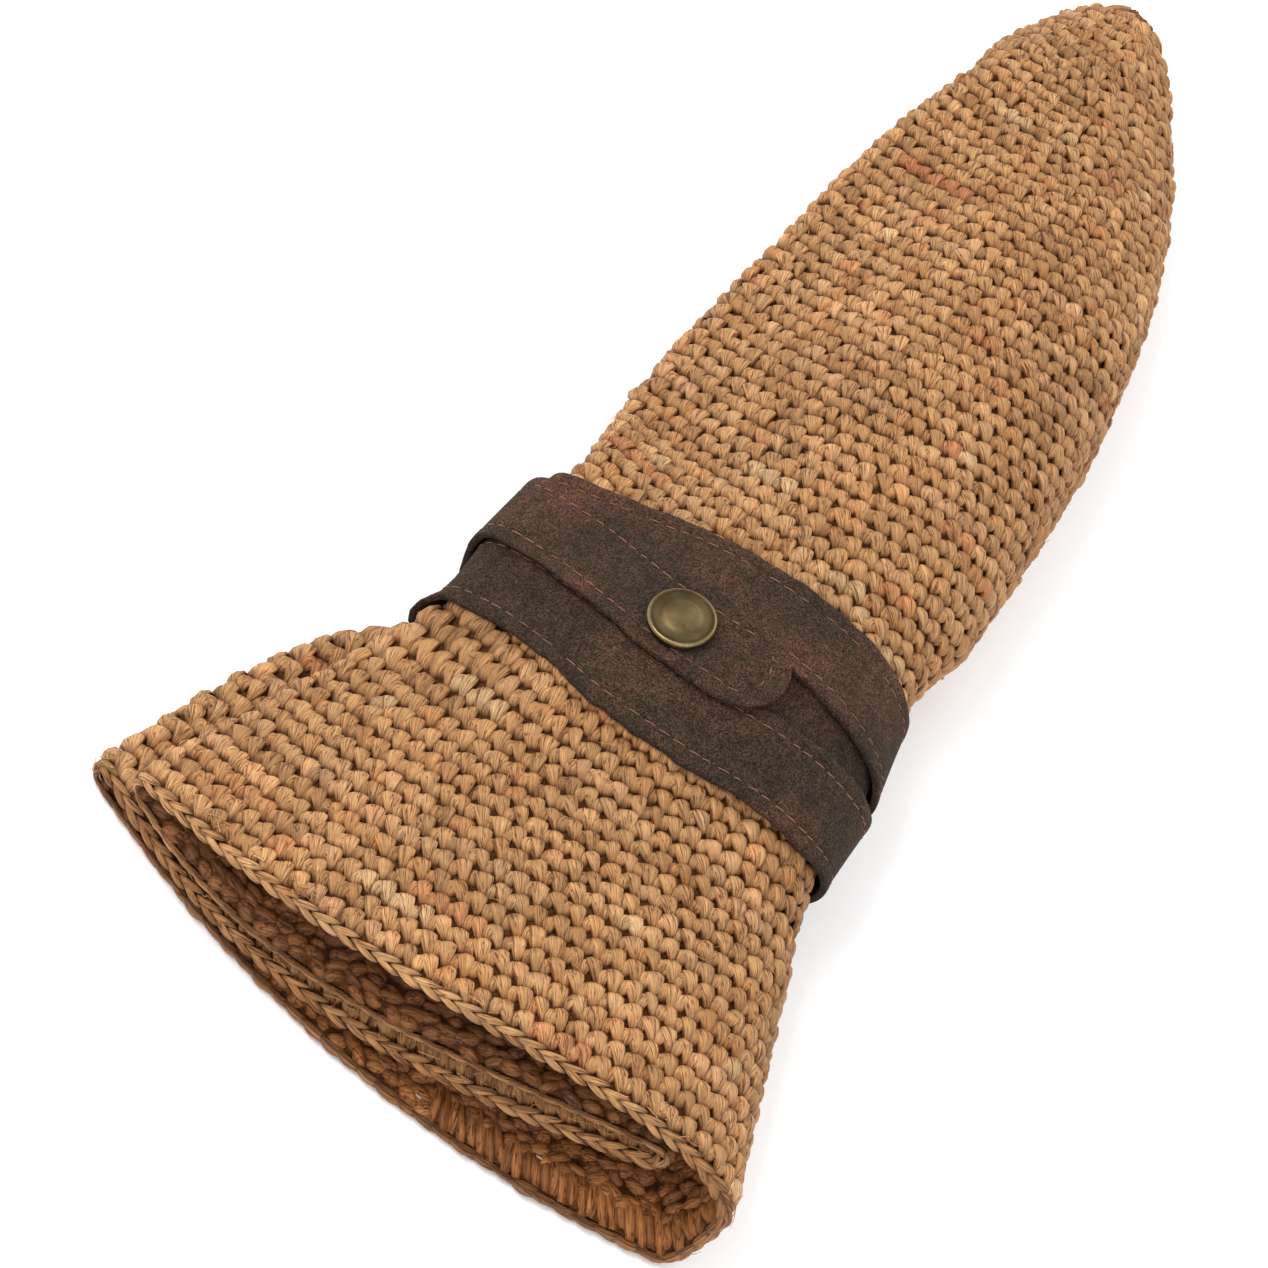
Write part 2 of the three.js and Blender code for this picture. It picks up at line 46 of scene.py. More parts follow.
MOUTH_START = 1.9
MOUTH_Y = -148.12
ROLL_X = -0.04
BOW_MIDDLE = 4.0
(ALONG, LEFT, RIGHT, TOP, CREST, FLOOR, FOOT, UPPER_X, UPPER_Z, INNER_X, INNER_Z,
 BOW, LOW_BOW, LOW_SHIFT, LEAN, PARTING, ARCH, SWAY, PLAIN) = range(19)
SECTIONS = np.array([
    [0, -67.6, 67.6, 31.8, 16, 1.5, 5, -60.5, 12.9, 53, 22, 14, 11, 8, -0.02, 26, 10, 6.5, 0],
    [30, -58.4, 57.4, 32.6, 17, 1.5, 11, -50, 13.2, 44, 20.6, 13, 11, 6, -0.03, 16, 6, 4.2, 0],
    [52, -49, 49.8, 33.4, 18, 1.5, 15, -42.4, 13.4, 36, 19, 12, 11, 3, 0, 6, 2, 1, 0],
    [60, -41.6, 46.6, 34.2, 18, 4.2, 16, -38.8, 15.8, 33, 19.4, 11.8, 11, 1, 0.02, 2, 0, 0.3, 0],
    [67, -33.6, 44.2, 34.9, 18, 7.4, 17, -34.6, 18.6, 30, 20, 11.5, 11, 0, 0.04, 0, 0, 0, 0],
    [76, -31.4, 42.8, 35.5, 18, 7.9, 17.5, -34.2, 19.2, 29, 20.2, 10.6, 10.6, 0, 0.06, 0, 0, 0, 0],
    [98, -30.2, 40.4, 35.9, 18, 7.9, 18, -32.8, 19.2, 27, 20.2, 9.4, 9.4, 0, 0.08, 0, 0, 0, 0],
    [110, -29.2, 39.8, 36.1, 18, 7.9, 18, -31.4, 19.2, 26, 20.2, 8.8, 8.8, 0, 0.1, 0, 0, 0, 0],
    [118, -31, 40, 36.4, 18, 6.6, 18.6, -31.6, 18, 26, 20, 8.5, 8.5, 0, 0.1, 0, 0, 0, 0],
    [134, -32, 43, 37.5, 18, 1.5, 22, -32, 13.4, 25, 18.2, 8, 8, 0, 0.1, 0, 0, 0, 0],
    [180, -29, 41.5, 37, 17, 1.5, 21.8, -29, 12.6, 20, 17, 7, 7, 0, 0.15, 0, 0, 0, 0],
    [215, -26, 36.8, 34.5, 14, 1.5, 20.5, -26, 12.6, 8, 15, 6, 6, 0, 0.2, 0, 0, 0, 0],
    [240, -23.4, 30.6, 31.2, 10, 1.5, 18, -23.4, 12.6, -6, 12.6, 5, 5, 0, 0.3, 0, 0, 0, 0.35],
    [260, -18.8, 23, 27.6, 5, 2, 13.6, -18.8, 12.6, -11, 11, 4, 4, 0, 0.45, 0, 0, 0, 0.9],
    [274, -14.2, 16.2, 24.4, 2, 2.9, 9.8, -14.2, 13, -9, 11, 2.5, 2.5, 0, 0.5, 0, 0, 0, 1],
    [283, -10.4, 11, 21.6, 1, 5.2, 6.6, -10.4, 13.4, -6, 12.6, 1.4, 1.4, 0, 0.5, 0, 0, 0, 1],
    [289, -6.5, 6.6, 18.6, 0, 8.6, 4, -6.5, 13.8, -4, 13, 0.7, 0.7, 0, 0.5, 0, 0, 0, 1],
    [291.6, -2.3, 2.4, 16.2, 0, 11.8, 1.6, -2.3, 14.4, -1, 14.2, 0.2, 0.2, 0, 0.5, 0, 0, 0, 1],
], float)
ROLL_END = 291.6
FOLD_RADIUS, UPPER_FOLD_TURN, INNER_BEND_TURN, LOWER_FOLD_TURN = 2.2, 205, 12, 180
OVAL_END, OVAL_DROP, OVAL_ANGLES = 0.4, 0.05, (105, 150, 172, 188, 210, 255)
QUARTER, PANEL_HANDLE, TOP_PANEL_HANDLE = 0.5523, 0.33, 0.4
RIGHT_BEND_HEIGHT = 0.46
SWAY_LEVEL = 0.45


def smooth(value):
    """0 below 0, 1 above 1, and 3v^2 - 2v^3 between them."""
    v = np.clip(value, 0, 1)
    return v * v * (3 - 2 * v)


def read_table(table, place):
    """Rows of a table at any places: cubic Hermite curves through its rows. The slope at a row is 0
    where the rates on its two sides differ in sign, and at most three times the smaller of them."""
    place = np.atleast_1d(place).astype(float)
    steps = np.diff(table, axis=0)
    rates = steps / steps[:, :1]
    before, after = rates[:-1], rates[1:]
    central = np.abs((table[2:] - table[:-2]) / (table[2:, :1] - table[:-2, :1]))
    most = 3 * np.minimum(np.abs(before), np.abs(after))
    slopes = np.vstack([
        rates[:1],
        np.where(before * after <= 0, 0, np.sign(before) * np.minimum(most, central)),
        rates[-1:],
    ])
    low = np.clip(np.searchsorted(table[:, 0], place, side="right") - 1, 0, len(table) - 2)
    span = (table[low + 1, 0] - table[low, 0])[:, None]
    t = (place - table[low, 0])[:, None] / span
    return ((2 * t**3 - 3 * t**2 + 1) * table[low] + (t**3 - 2 * t**2 + t) * span * slopes[low]
            + (3 * t**2 - 2 * t**3) * table[low + 1] + (t**3 - t**2) * span * slopes[low + 1])


def heading(degrees):
    """A direction in the section's plane, as the complex number x + iz."""
    return np.exp(1j * np.radians(degrees))


def panel(start, start_turn, start_reach, end, end_turn, end_reach, t):
    """Cubic Bezier from start to end, leaving and arriving along two headings with two handles."""
    second = start + start_reach * heading(start_turn)
    third = end - end_reach * heading(end_turn)
    return ((1 - t)**3 * start + 3 * (1 - t)**2 * t * second
            + 3 * (1 - t) * t**2 * third + t**3 * end)


def fold(centre, radius, first, last, t):
    """Round arc about a centre, its angle running evenly from first to last."""
    return centre + radius * heading(first + (last - first) * t)


def middle_lines(rows):
    """The raffia wall's middle line in each section, as x + iz: right bend, top panel, upper fold,
    second panel, inner bend, third panel, lower fold and bottom panel, led into a plain oval."""
    get = rows.T[:, :, None]
    bend_t, panel_t, fold_t = (np.linspace(0, 1, n, endpoint=False)[None] for n in (30, 64, 16))
    top, floor, left, right = get[TOP], get[FLOOR], get[LEFT], get[RIGHT]
    side = right + 1j * (floor + (top - floor) * RIGHT_BEND_HEIGHT)
    rise = side.imag - floor
    foot = right - get[FOOT] + 1j * floor
    crest = get[CREST] + 1j * top
    bend = [
        panel(foot, 0, QUARTER * (side.real - foot.real), side, 90, QUARTER * rise, bend_t),
        panel(side, 90, QUARTER * (top - side.imag),
              crest, 180, QUARTER * (right - crest.real), bend_t),
    ]
    r = FOLD_RADIUS
    upper = get[UPPER_X] + r + 1j * get[UPPER_Z]
    inner = get[INNER_X] - r + 1j * get[INNER_Z]
    lower = left + r + 1j * (floor + r)
    parted = UPPER_FOLD_TURN - get[PARTING]
    arched = INNER_BEND_TURN - get[ARCH]
    upper_in, upper_out = (upper + r * heading(a) for a in (UPPER_FOLD_TURN - 90, parted + 90))
    inner_in, inner_out = (inner + r * heading(a) for a in (arched + 90, INNER_BEND_TURN - 90))
    lower_in, lower_out = (lower + r * heading(LOWER_FOLD_TURN + a) for a in (-90, 90))
    over = np.abs(crest - upper_in)

    def between(start, start_turn, end, end_turn):
        reach = PANEL_HANDLE * np.abs(start - end)
        return panel(start, start_turn, reach, end, end_turn, reach, panel_t)

    folded = np.hstack([
        panel(crest, 180, TOP_PANEL_HANDLE * over,
              upper_in, UPPER_FOLD_TURN, PANEL_HANDLE * over, panel_t),
        fold(upper, r, UPPER_FOLD_TURN - 90, parted + 90, fold_t),
        between(upper_out, parted - 180, inner_in, arched),
        fold(inner, r, arched + 90, INNER_BEND_TURN - 90, fold_t),
        between(inner_out, INNER_BEND_TURN + 180, lower_in, LOWER_FOLD_TURN),
        fold(lower, r, LOWER_FOLD_TURN - 90, LOWER_FOLD_TURN + 90, fold_t),
        between(lower_out, 0, foot, 0),
    ])
    r = OVAL_END * (top - floor)
    centre = left + r + 1j * ((top + floor) / 2 - OVAL_DROP * (top - floor))
    first, last = centre + r * heading(OVAL_ANGLES[0]), centre + r * heading(OVAL_ANGLES[-1])
    arcs = [fold(centre, r, OVAL_ANGLES[i], OVAL_ANGLES[i + 1], panel_t if i % 2 else fold_t)
            for i in range(len(OVAL_ANGLES) - 1)]
    oval = np.hstack([
        between(crest, 180, first, OVAL_ANGLES[0] + 90),
        *arcs,
        between(last, OVAL_ANGLES[-1] + 90, foot, 0),
    ])
    share = np.clip(get[PLAIN], 0, 1)
    return np.hstack([*bend, folded * (1 - share) + oval * share])


def moved_out(lines, distance):
    """Each closed line moved outwards by a distance, at right angles to itself."""
    run = np.roll(lines, -1, 1) - np.roll(lines, 1, 1)
    return lines - 1j * run / np.abs(run) * distance


def even_lines(lines, count):
    """Each closed line cut into steps of equal length. Gives the points and the lines' lengths."""
    closed = np.hstack([lines, lines[:, :1]])
    run = np.hstack([np.zeros((len(lines), 1)), np.cumsum(np.abs(np.diff(closed, axis=1)), 1)])
    length = run[:, -1]
    order = 2.0 * np.arange(len(lines))[:, None]
    known = (run / length[:, None] + order).ravel()
    wanted = (np.linspace(0, 1, count, endpoint=False)[None] + order).ravel()
    flat = closed.ravel()
    points = np.interp(wanted, known, flat.real) + 1j * np.interp(wanted, known, flat.imag)
    return points.reshape(len(lines), count), length


def set_in_roll(rows, lines):
    """Section points set in space: rows bow back at their sides and lean with their height."""
    get = rows.T[:, :, None]
    depth = 1 - (lines.imag - get[FLOOR]) / (get[TOP] - get[FLOOR])
    middle = (get[LEFT] + get[RIGHT]) / 2 + BOW_MIDDLE + get[LOW_SHIFT] * depth
    half = (get[RIGHT] - get[LEFT]) / 2
    across = (lines.real - middle) / half
    place = (lines.real - (get[LEFT] + get[RIGHT]) / 2) / half
    bow = get[BOW] + (get[LOW_BOW] - get[BOW]) * depth
    lowness = np.clip(depth, 0, 1)
    sway = get[SWAY] * (SWAY_LEVEL * (1 - lowness) + place - place**3) * (1 - lowness**8)
    y = get[ALONG] + bow * across**2 + sway - get[LEAN] * (lines.imag - (get[TOP] + get[FLOOR]) / 2)
    return np.stack([lines.real + ROLL_X, y + MOUTH_Y, lines.imag], -1)


def unit(vectors):
    """Vectors of length 1."""
    return vectors / np.maximum(np.linalg.norm(vectors, axis=-1, keepdims=True), 1e-9)


# The roll's middle surface, kept as a grid of points and outward directions
GRID_FIRST, GRID_STEP, GRID_LAPS = -6.0, 0.5, 720
grid_along = np.arange(GRID_FIRST, ROLL_END + 0.01, GRID_STEP)
grid_rows = read_table(SECTIONS, grid_along)
grid_rows[:, ALONG] = grid_along
grid_lines, grid_length = even_lines(middle_lines(grid_rows), GRID_LAPS)
grid_points = set_in_roll(grid_rows, grid_lines)
grid_out = unit(np.cross(
    np.gradient(grid_points, axis=0),
    np.roll(grid_points, -1, 1) - np.roll(grid_points, 1, 1),
))


def on_roll(along, lap):
    """A place on the roll's middle surface and its outward direction. along is the distance from
    the mouth in mm, and lap the share of the way round: the grid's values, mixed bilinearly."""
    row = np.clip((along - GRID_FIRST) / GRID_STEP, 0, len(grid_along) - 1.001)
    low = row.astype(int)
    up = (row - low)[..., None]
    turn = np.mod(lap, 1.0) * GRID_LAPS
    left = turn.astype(int) % GRID_LAPS
    over = (turn - np.floor(turn))[..., None]
    right = (left + 1) % GRID_LAPS
    level = lambda g, i: g[i, left] * (1 - over) + g[i, right] * over
    mix = lambda g: level(g, low) * (1 - up) + level(g, low + 1) * up
    return mix(grid_points), unit(mix(grid_out))


def length_round(along):
    """The roll's length round its middle line at a distance from the mouth."""
    return np.interp(along, grid_along, grid_length)


# ---- meshes

def grid_faces(rows, columns, closed=False):
    """Quads of a grid of points, row by row. closed joins each row's last column to its first."""
    i, j = np.meshgrid(
        np.arange(rows - 1), np.arange(columns if closed else columns - 1), indexing="ij")
    here, beside = i * columns + j, i * columns + (j + 1) % columns
    return np.stack([here, beside, beside + columns, here + columns], -1).reshape(-1, 4)


def repeated(faces, count, stride):
    """The same faces for each of count copies whose points follow each other."""
    return (faces[None] + stride * np.arange(count)[:, None, None]).reshape(-1, 4)


def tubes(core, one, two, sides, wide, high):
    """Rings of points round core lines: core + one wide cos a + two high sin a, at even angles a."""
    angle = 2 * np.pi * np.arange(sides)[:, None] / sides
    wide, high = wide[..., None, None], high[..., None, None]
    return (core[:, :, None] + one[:, :, None] * (wide * np.cos(angle))
            + two[:, :, None] * (high * np.sin(angle)))


def paired(across, along):
    """Two arrays, broadcast together, as the two values of a place."""
    return np.stack(np.broadcast_arrays(across, along), -1)


def add_piece(name, points, faces, material, nodes, uv=None, colour=None, extra_faces=(),
              spot=None):
    """A mesh piece from points in mm, quads, and two uv places and a colour for each point."""
    mesh = bpy.data.meshes.new(name)
    points = np.asarray(points).reshape(-1, 3) * 0.001
    mesh.from_pydata(points.tolist(), [], faces.tolist() + [list(f) for f in extra_faces])
    mesh.polygons.foreach_set("use_smooth", np.ones(len(mesh.polygons), bool))
    index = np.empty(len(mesh.loops), int)
    mesh.loops.foreach_get("vertex_index", index)
    for label, places in (("strand_uv", uv), ("spot_uv", spot)):
        if places is not None:
            flat = places.reshape(-1, 2)[index].astype(np.float32).ravel()
            mesh.uv_layers.new(name=label).data.foreach_set("uv", flat)
    if colour is not None:
        shade = mesh.color_attributes.new("strand", "FLOAT_COLOR", "POINT")
        full = np.hstack([colour.reshape(-1, 3), np.ones((len(points), 1))])
        shade.data.foreach_set("color", full.astype(np.float32).ravel())
    mesh.materials.append(material)
    mesh.update()
    piece = bpy.data.objects.new(name, mesh)
    bpy.context.scene.collection.objects.link(piece)
    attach(piece, "root")
    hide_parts(*nodes)


def tone(red, green, blue):
    """A colour given as 0 to 255 on the screen's scale, in the renderer's linear one."""
    share = np.array([red, green, blue]) / 255
    return np.where(share <= 0.04045, share / 12.92, ((share + 0.055) / 1.055)**2.4)


# ---- materials

class Paint:
    """A node tree and the ways to put nodes into it. A source is another node's output."""

    def __init__(self, tree):
        self.tree = tree

    def fill(self, node, inputs):
        """Each named input is linked from its socket, or set to its number or colour."""
        for name, value in inputs.items():
            if isinstance(value, bpy.types.NodeSocket):
                self.tree.links.new(value, node.inputs[name])
            else:
                node.inputs[name].default_value = value

    def add(self, kind, output, inputs=None, **settings):
        """A new node's output, after its settings and its inputs."""
        node = self.tree.nodes.new("ShaderNode" + kind)
        for name, value in settings.items():
            setattr(node, name, value)
        self.fill(node, inputs or {})
        return node.outputs[output]

    def group(self, tree, inputs):
        """A node group placed in this tree: all its outputs."""
        node = self.tree.nodes.new("ShaderNodeGroup")
        node.node_tree = tree
        self.fill(node, inputs)
        return node.outputs

    def speckled(self, patch, grain):
        """The speckle group at two scales, on the object's own coordinates."""
        place = self.add("TexCoord", "Object")
        return self.group(speckle, {"Vector": place, "Patch Scale": patch, "Grain Scale": grain})

    def noise(self, source, scale, detail, roughness=0.5):
        """Noise from 0 to 1."""
        return self.add("TexNoise", "Fac", {
            "Vector": source, "Scale": scale, "Detail": detail, "Roughness": roughness})

    def maths(self, operation, first, second=0.0):
        """One step of arithmetic on a source."""
        return self.add("Math", "Value", {0: first, 1: second}, operation=operation)

    def spread(self, source, low, high, start, end, easing="LINEAR"):
        """A value mapped from low..high to start..end and held there outside."""
        return self.add("MapRange", "Result", {
            "Value": source, "From Min": low, "From Max": high, "To Min": start, "To Max": end,
        }, interpolation_type=easing)

    def shaded(self, colour, source, low, high, start, end):
        """A colour multiplied by a grey value that is spread from a source."""
        grey = self.spread(source, low, high, start, end)
        return self.add("VectorMath", "Vector", {0: colour, 1: grey}, operation="MULTIPLY")

    def tinted(self, colour, amount, tint):
        """A colour multiplied by a tint to an amount."""
        return self.add("Mix", "Result", {"Factor": amount, "A": colour, "B": (*tint, 1)},
                        data_type="RGBA", blend_type="MULTIPLY")

    def ramp(self, source, dark, light, first, last):
        """A colour that runs from dark to light while the source runs from first to last."""
        node = self.tree.nodes.new("ShaderNodeValToRGB")
        for end, place, colour in zip(node.color_ramp.elements, (first, last), (dark, light)):
            end.position, end.color = place, (*tone(*colour), 1)
        self.fill(node, {"Fac": source})
        return node.outputs["Color"]

    def bump(self, height, strength, distance):
        """A bumped normal, distance in mm."""
        return self.add("Bump", "Normal", {
            "Strength": strength, "Distance": distance * 0.001, "Height": height})


def new_group(name, inputs, outputs):
    """An empty group with its sockets, as (group, paint, its given sources, its output node)."""
    group = bpy.data.node_groups.new(name, "ShaderNodeTree")
    for way, sockets in (("INPUT", inputs), ("OUTPUT", outputs)):
        for label, kind in sockets.items():
            group.interface.new_socket(label, in_out=way, socket_type="NodeSocket" + kind)
    inside, outside = group.nodes.new("NodeGroupInput"), group.nodes.new("NodeGroupOutput")
    return group, Paint(group), inside.outputs, outside


def speckle_group():
    """Noise at two sizes: Patches, slow and soft, and Grain, fine. Both run from 0 to 1."""
    group, paint, inside, outside = new_group(
        "speckle", {"Vector": "Vector", "Patch Scale": "Float", "Grain Scale": "Float"},
        {"Patches": "Float", "Grain": "Float"})
    paint.fill(outside, {
        "Patches": paint.noise(inside["Vector"], inside["Patch Scale"], 3.0),
        "Grain": paint.noise(inside["Vector"], inside["Grain Scale"], 2.0),
    })
    return group


def creases_group():
    """Painted shade in the creases of a strand, from its own place, X across it from -1 to 1 and Y
    down it from 0 to 1: its rim, where |x| nears 1, its foot, and pleats, thin lines where a noise
    drawn out along the strand passes its middle value."""
    group, paint, inside, outside = new_group(
        "crease_shade", {"Spot": "Vector", "Strand": "Vector"}, {"Dark": "Float"})
    x, y = (paint.add("SeparateXYZ", axis, {"Vector": inside["Spot"]}) for axis in "XY")
    drawn_out = paint.add(
        "Mapping", "Vector", {"Vector": inside["Strand"], "Scale": (1.9, 0.45, 1.0)})
    off_middle = paint.maths("SUBTRACT", paint.noise(drawn_out, 1.0, 2.0), 0.5)
    off_middle = paint.maths("ABSOLUTE", off_middle)
    pleat = paint.spread(off_middle, 0.0, 0.034, 1.0, 0.0, "SMOOTHSTEP")
    rim = paint.spread(paint.maths("ABSOLUTE", x), 0.89, 1.0, 0.0, 1.0, "SMOOTHSTEP")
    foot = paint.spread(y, 0.88, 1.0, 0.0, 1.0, "SMOOTHSTEP")
    paint.fill(outside, {"Dark": paint.maths("MAXIMUM", paint.maths("MAXIMUM", rim, pleat), foot)})
    return group


speckle, crease_shade = speckle_group(), creases_group()


def new_material(name):
    """A material, its paint and its Principled shader."""
    material = bpy.data.materials.new(name)
    material.use_nodes = True
    return material, Paint(material.node_tree), material.node_tree.nodes["Principled BSDF"]


def raffia_material():
    """Raffia strand: the strand's own colour, streaked along its fibres, mottled, blushed in
    patches and darkened in its creases with painted shade."""
    material, paint, shader = new_material("raffia_strand")
    strand = paint.add("Attribute", "Color", attribute_name="strand")
    uv, own = (paint.add("UVMap", "UV", uv_map=label) for label in ("strand_uv", "spot_uv"))
    fibre = paint.add("Mapping", "Vector", {"Vector": uv, "Scale": (9.0, 0.8, 1.0)})
    streak = paint.noise(fibre, 1.0, 3.0, 0.6)
    spots, blots = paint.speckled(45.0, 700.0), paint.speckled(170.0, 700.0)
    colour = paint.shaded(strand, streak, 0.38, 0.60, 0.58, 1.18)
    colour = paint.shaded(colour, spots["Patches"], 0.3, 0.7, 0.88, 1.1)
    colour = paint.shaded(colour, spots["Grain"], 0.3, 0.7, 0.86, 1.12)
    blush = paint.spread(blots["Patches"], 0.52, 0.72, 0.0, 0.8)
    colour = paint.tinted(colour, blush, (1.0, 0.84, 0.68))
    dark = paint.group(crease_shade, {"Spot": own, "Strand": uv})["Dark"]
    paint.fill(shader, {
        # Painted shade: the crease mask tints the colour a dark warm brown
        "Base Color": paint.tinted(colour, dark, (0.33, 0.20, 0.10)),
        "Roughness": paint.spread(streak, 0.3, 0.7, 0.72, 0.54),
        "Specular IOR Level": 0.3,
        "Normal": paint.bump(streak, 0.8, 0.3),
    })
    return material


def suede_material():
    """Brushed suede: dark brown with redder worn clouds and a coarse, mottled nap."""
    material, paint, shader = new_material("suede_nap")
    wide, fine = paint.speckled(48.0, 1300.0), paint.speckled(420.0, 3300.0)
    colour = paint.ramp(wide["Patches"], (51, 40, 31), (79, 52, 41), 0.46, 0.74)
    colour = paint.shaded(colour, fine["Patches"], 0.3, 0.7, 0.72, 1.25)
    colour = paint.shaded(colour, wide["Grain"], 0.34, 0.66, 0.74, 1.28)
    paint.fill(shader, {
        "Base Color": paint.shaded(colour, fine["Grain"], 0.38, 0.62, 0.36, 1.7),
        "Roughness": paint.spread(fine["Patches"], 0.3, 0.7, 0.9, 1.0),
        "Specular IOR Level": 0.12,
        "Sheen Weight": 0.03,
        "Sheen Roughness": 0.5,
        "Sheen Tint": (0.8, 0.6, 0.5, 1),
        "Normal": paint.bump(fine["Grain"], 0.9, 0.35),
    })
    return material


def mottled_material(name, spots, tones, source, between, settings, bump=None):
    """Speckles at two scales that run between two tones, and a bump from the other speckle."""
    material, paint, shader = new_material(name)
    speckles = paint.speckled(*spots)
    paint.fill(shader, {"Base Color": paint.ramp(speckles[source], *tones, *between), **settings})
    if bump:
        other = "Patches" if source == "Grain" else "Grain"
        paint.fill(shader, {"Normal": paint.bump(speckles[other], *bump)})
    return material


def brass_material():
    """Antiqued brass: dark in its hollows, with a painted highlight on its rim, mottled and
    finely grained.
    """
    material, paint, shader = new_material("antique_brass")
    # Painted light and shade: the cap's colour carries its rim, painted light on top and darker
    # below
    rim_highlight_and_hollows = paint.add("Attribute", "Color", attribute_name="strand")
    spots = paint.speckled(260.0, 2400.0)
    colour = paint.shaded(rim_highlight_and_hollows, spots["Patches"], 0.3, 0.7, 0.78, 1.15)
    paint.fill(shader, {
        "Base Color": paint.shaded(colour, spots["Grain"], 0.3, 0.7, 0.9, 1.08),
        "Metallic": 1.0,
        "Roughness": paint.spread(spots["Patches"], 0.3, 0.7, 0.3, 0.46),
        "Normal": paint.bump(spots["Grain"], 0.12, 0.05),
    })
    return material


def floor_material():
    """Matt pale paper."""
    material, paint, shader = new_material("pale_floor")
    level = paint.spread(paint.speckled(2.0, 300.0)["Grain"], 0.3, 0.7, 0.93, 0.945)
    colour = paint.add("CombineColor", "Color", {"Red": level, "Green": level, "Blue": level})
    paint.fill(shader, {"Base Color": colour, "Roughness": 0.9})
    return material


raffia, suede, brass = raffia_material(), suede_material(), brass_material()
# Painted shade: the raffia's inside, made dark and seen only in the holes between stitches
raffia_painted_shade = mottled_material(
    "raffia_painted_shade", (220.0, 1400.0), ((54, 30, 13), (90, 54, 26)), "Grain", (0.35, 0.7),
    {"Roughness": 0.9, "Specular IOR Level": 0.08}, (0.6, 0.5))
# Waxed, reddish brown, with a fine grain
thread = mottled_material(
    "sewing_thread", (90.0, 2600.0), ((62, 37, 26), (146, 92, 64)), "Patches", (0.0, 1.0),
    {"Roughness": 0.6}, (0.5, 0.1))
# Pale, glossy plastic: the clear wire painted pale, a painted glint where it shows
wire = mottled_material(
    "clear_wire", (300.0, 1500.0), ((128, 118, 104), (205, 200, 192)), "Patches", (0.0, 1.0),
    {"Roughness": 0.15})

# ---- the raffia

TAN = tone(180, 134, 86)
STRAND_TONES = np.array([
    TAN, tone(174, 128, 81), tone(185, 140, 94), tone(168, 122, 76),
    tone(192, 154, 109), tone(186, 139, 96), tone(182, 125, 79), tone(175, 114, 72),
])
STRAND_SHARES = np.array([0.38, 0.22, 0.20, 0.13, 0.02, 0.03, 0.015, 0.005])
PLAIN_TONES = 4  # the first few, which are close to each other
STITCH_WIDTH, ROW_HEIGHT = 3.75, 4.1  # of the stitch that the leaves are drawn for
STITCH_WIDTHS = ([0, 120, 290], [3.8, 3.75, 3.7])
ROW_HEIGHTS = ([0, 60, 200, 270, 288], [4.16, 4.1, 3.85, 3.4, 3.2])
STITCH_LEAN = math.radians(32)
SHELL_HALF = 0.45
HIDDEN_FROM, HIDDEN_TO = 62, 200
HIDDEN_POINTS = (150, 274)  # of a section's middle line, just inside its two inner panels


def rows_of_stitches():
    """One entry for each stitch, row by row from the mouth: its distance along, its lap, the stitch
    width, the row height and its colour. Colours run along the strand for several stitches."""
    along = [MOUTH_START + 2.2]
    while along[-1] < ROLL_END - 1.2:
        along.append(along[-1] + np.interp(along[-1], *ROW_HEIGHTS))
    along = np.array(along)
    counts = np.round(length_round(along) / np.interp(along, *STITCH_WIDTHS))
    counts = np.maximum(5, counts).astype(int)
    row = np.repeat(np.arange(len(along)), counts)
    place = np.concatenate([np.arange(n) for n in counts])
    shift = np.cumsum(0.5 + chance.uniform(-0.12, 0.12, len(along)))
    lap = (place + shift[row]) / counts[row]
    total = len(row)
    runs = np.cumsum(chance.random(total) < 1 / 2)
    drawn = chance.choice(len(STRAND_TONES), runs[-1] + 1, p=STRAND_SHARES)
    colour = STRAND_TONES[drawn[runs]]
    odd = chance.random(total) < 0.15
    colour[odd] = STRAND_TONES[chance.choice(len(STRAND_TONES), odd.sum(), p=STRAND_SHARES)]
    band = 1 + 0.03 * np.sin(0.9 * row) + 0.03 * np.sin(0.37 * row + 1.0)
    colour = colour * (band * (1 + chance.normal(0, 0.055, total)))[:, None]
    return dict(
        row=row, along=along[row], lap=lap, width=length_round(along)[row] / counts[row],
        height=np.gradient(along)[row], loop=length_round(along)[row], colour=colour,
    )


def shear(stitches):
    """How far the roll's lines of equal lap run sideways at each stitch, in mm across for each mm
    along, measured between points half a millimetre apart."""
    along, lap = stitches["along"], stitches["lap"]
    here, _ = on_roll(along, lap)
    beside, _ = on_roll(along, lap - 0.5 / stitches["loop"])
    farther, _ = on_roll(along + 0.5, lap)
    return ((farther - here) * unit(beside - here)).sum(-1) / 0.5


def laid(stitches, x, y, z):
    """Points of a part of each stitch from its own frame in mm, x across, y down to the mouth and z
    out of the wall: turned by the stitches' lean and laid on the roll."""
    each = lambda key: stitches[key][:, None, None]
    across = (x * math.cos(STITCH_LEAN) + y * math.sin(STITCH_LEAN)) * each("width") / STITCH_WIDTH
    down = (y * math.cos(STITCH_LEAN) - x * math.sin(STITCH_LEAN)) * each("height") / ROW_HEIGHT
    lap = each("lap") - (across + down * each("shear")) / each("loop")
    place, out = on_roll(each("along") - down, lap)
    return place + out * z[..., None]


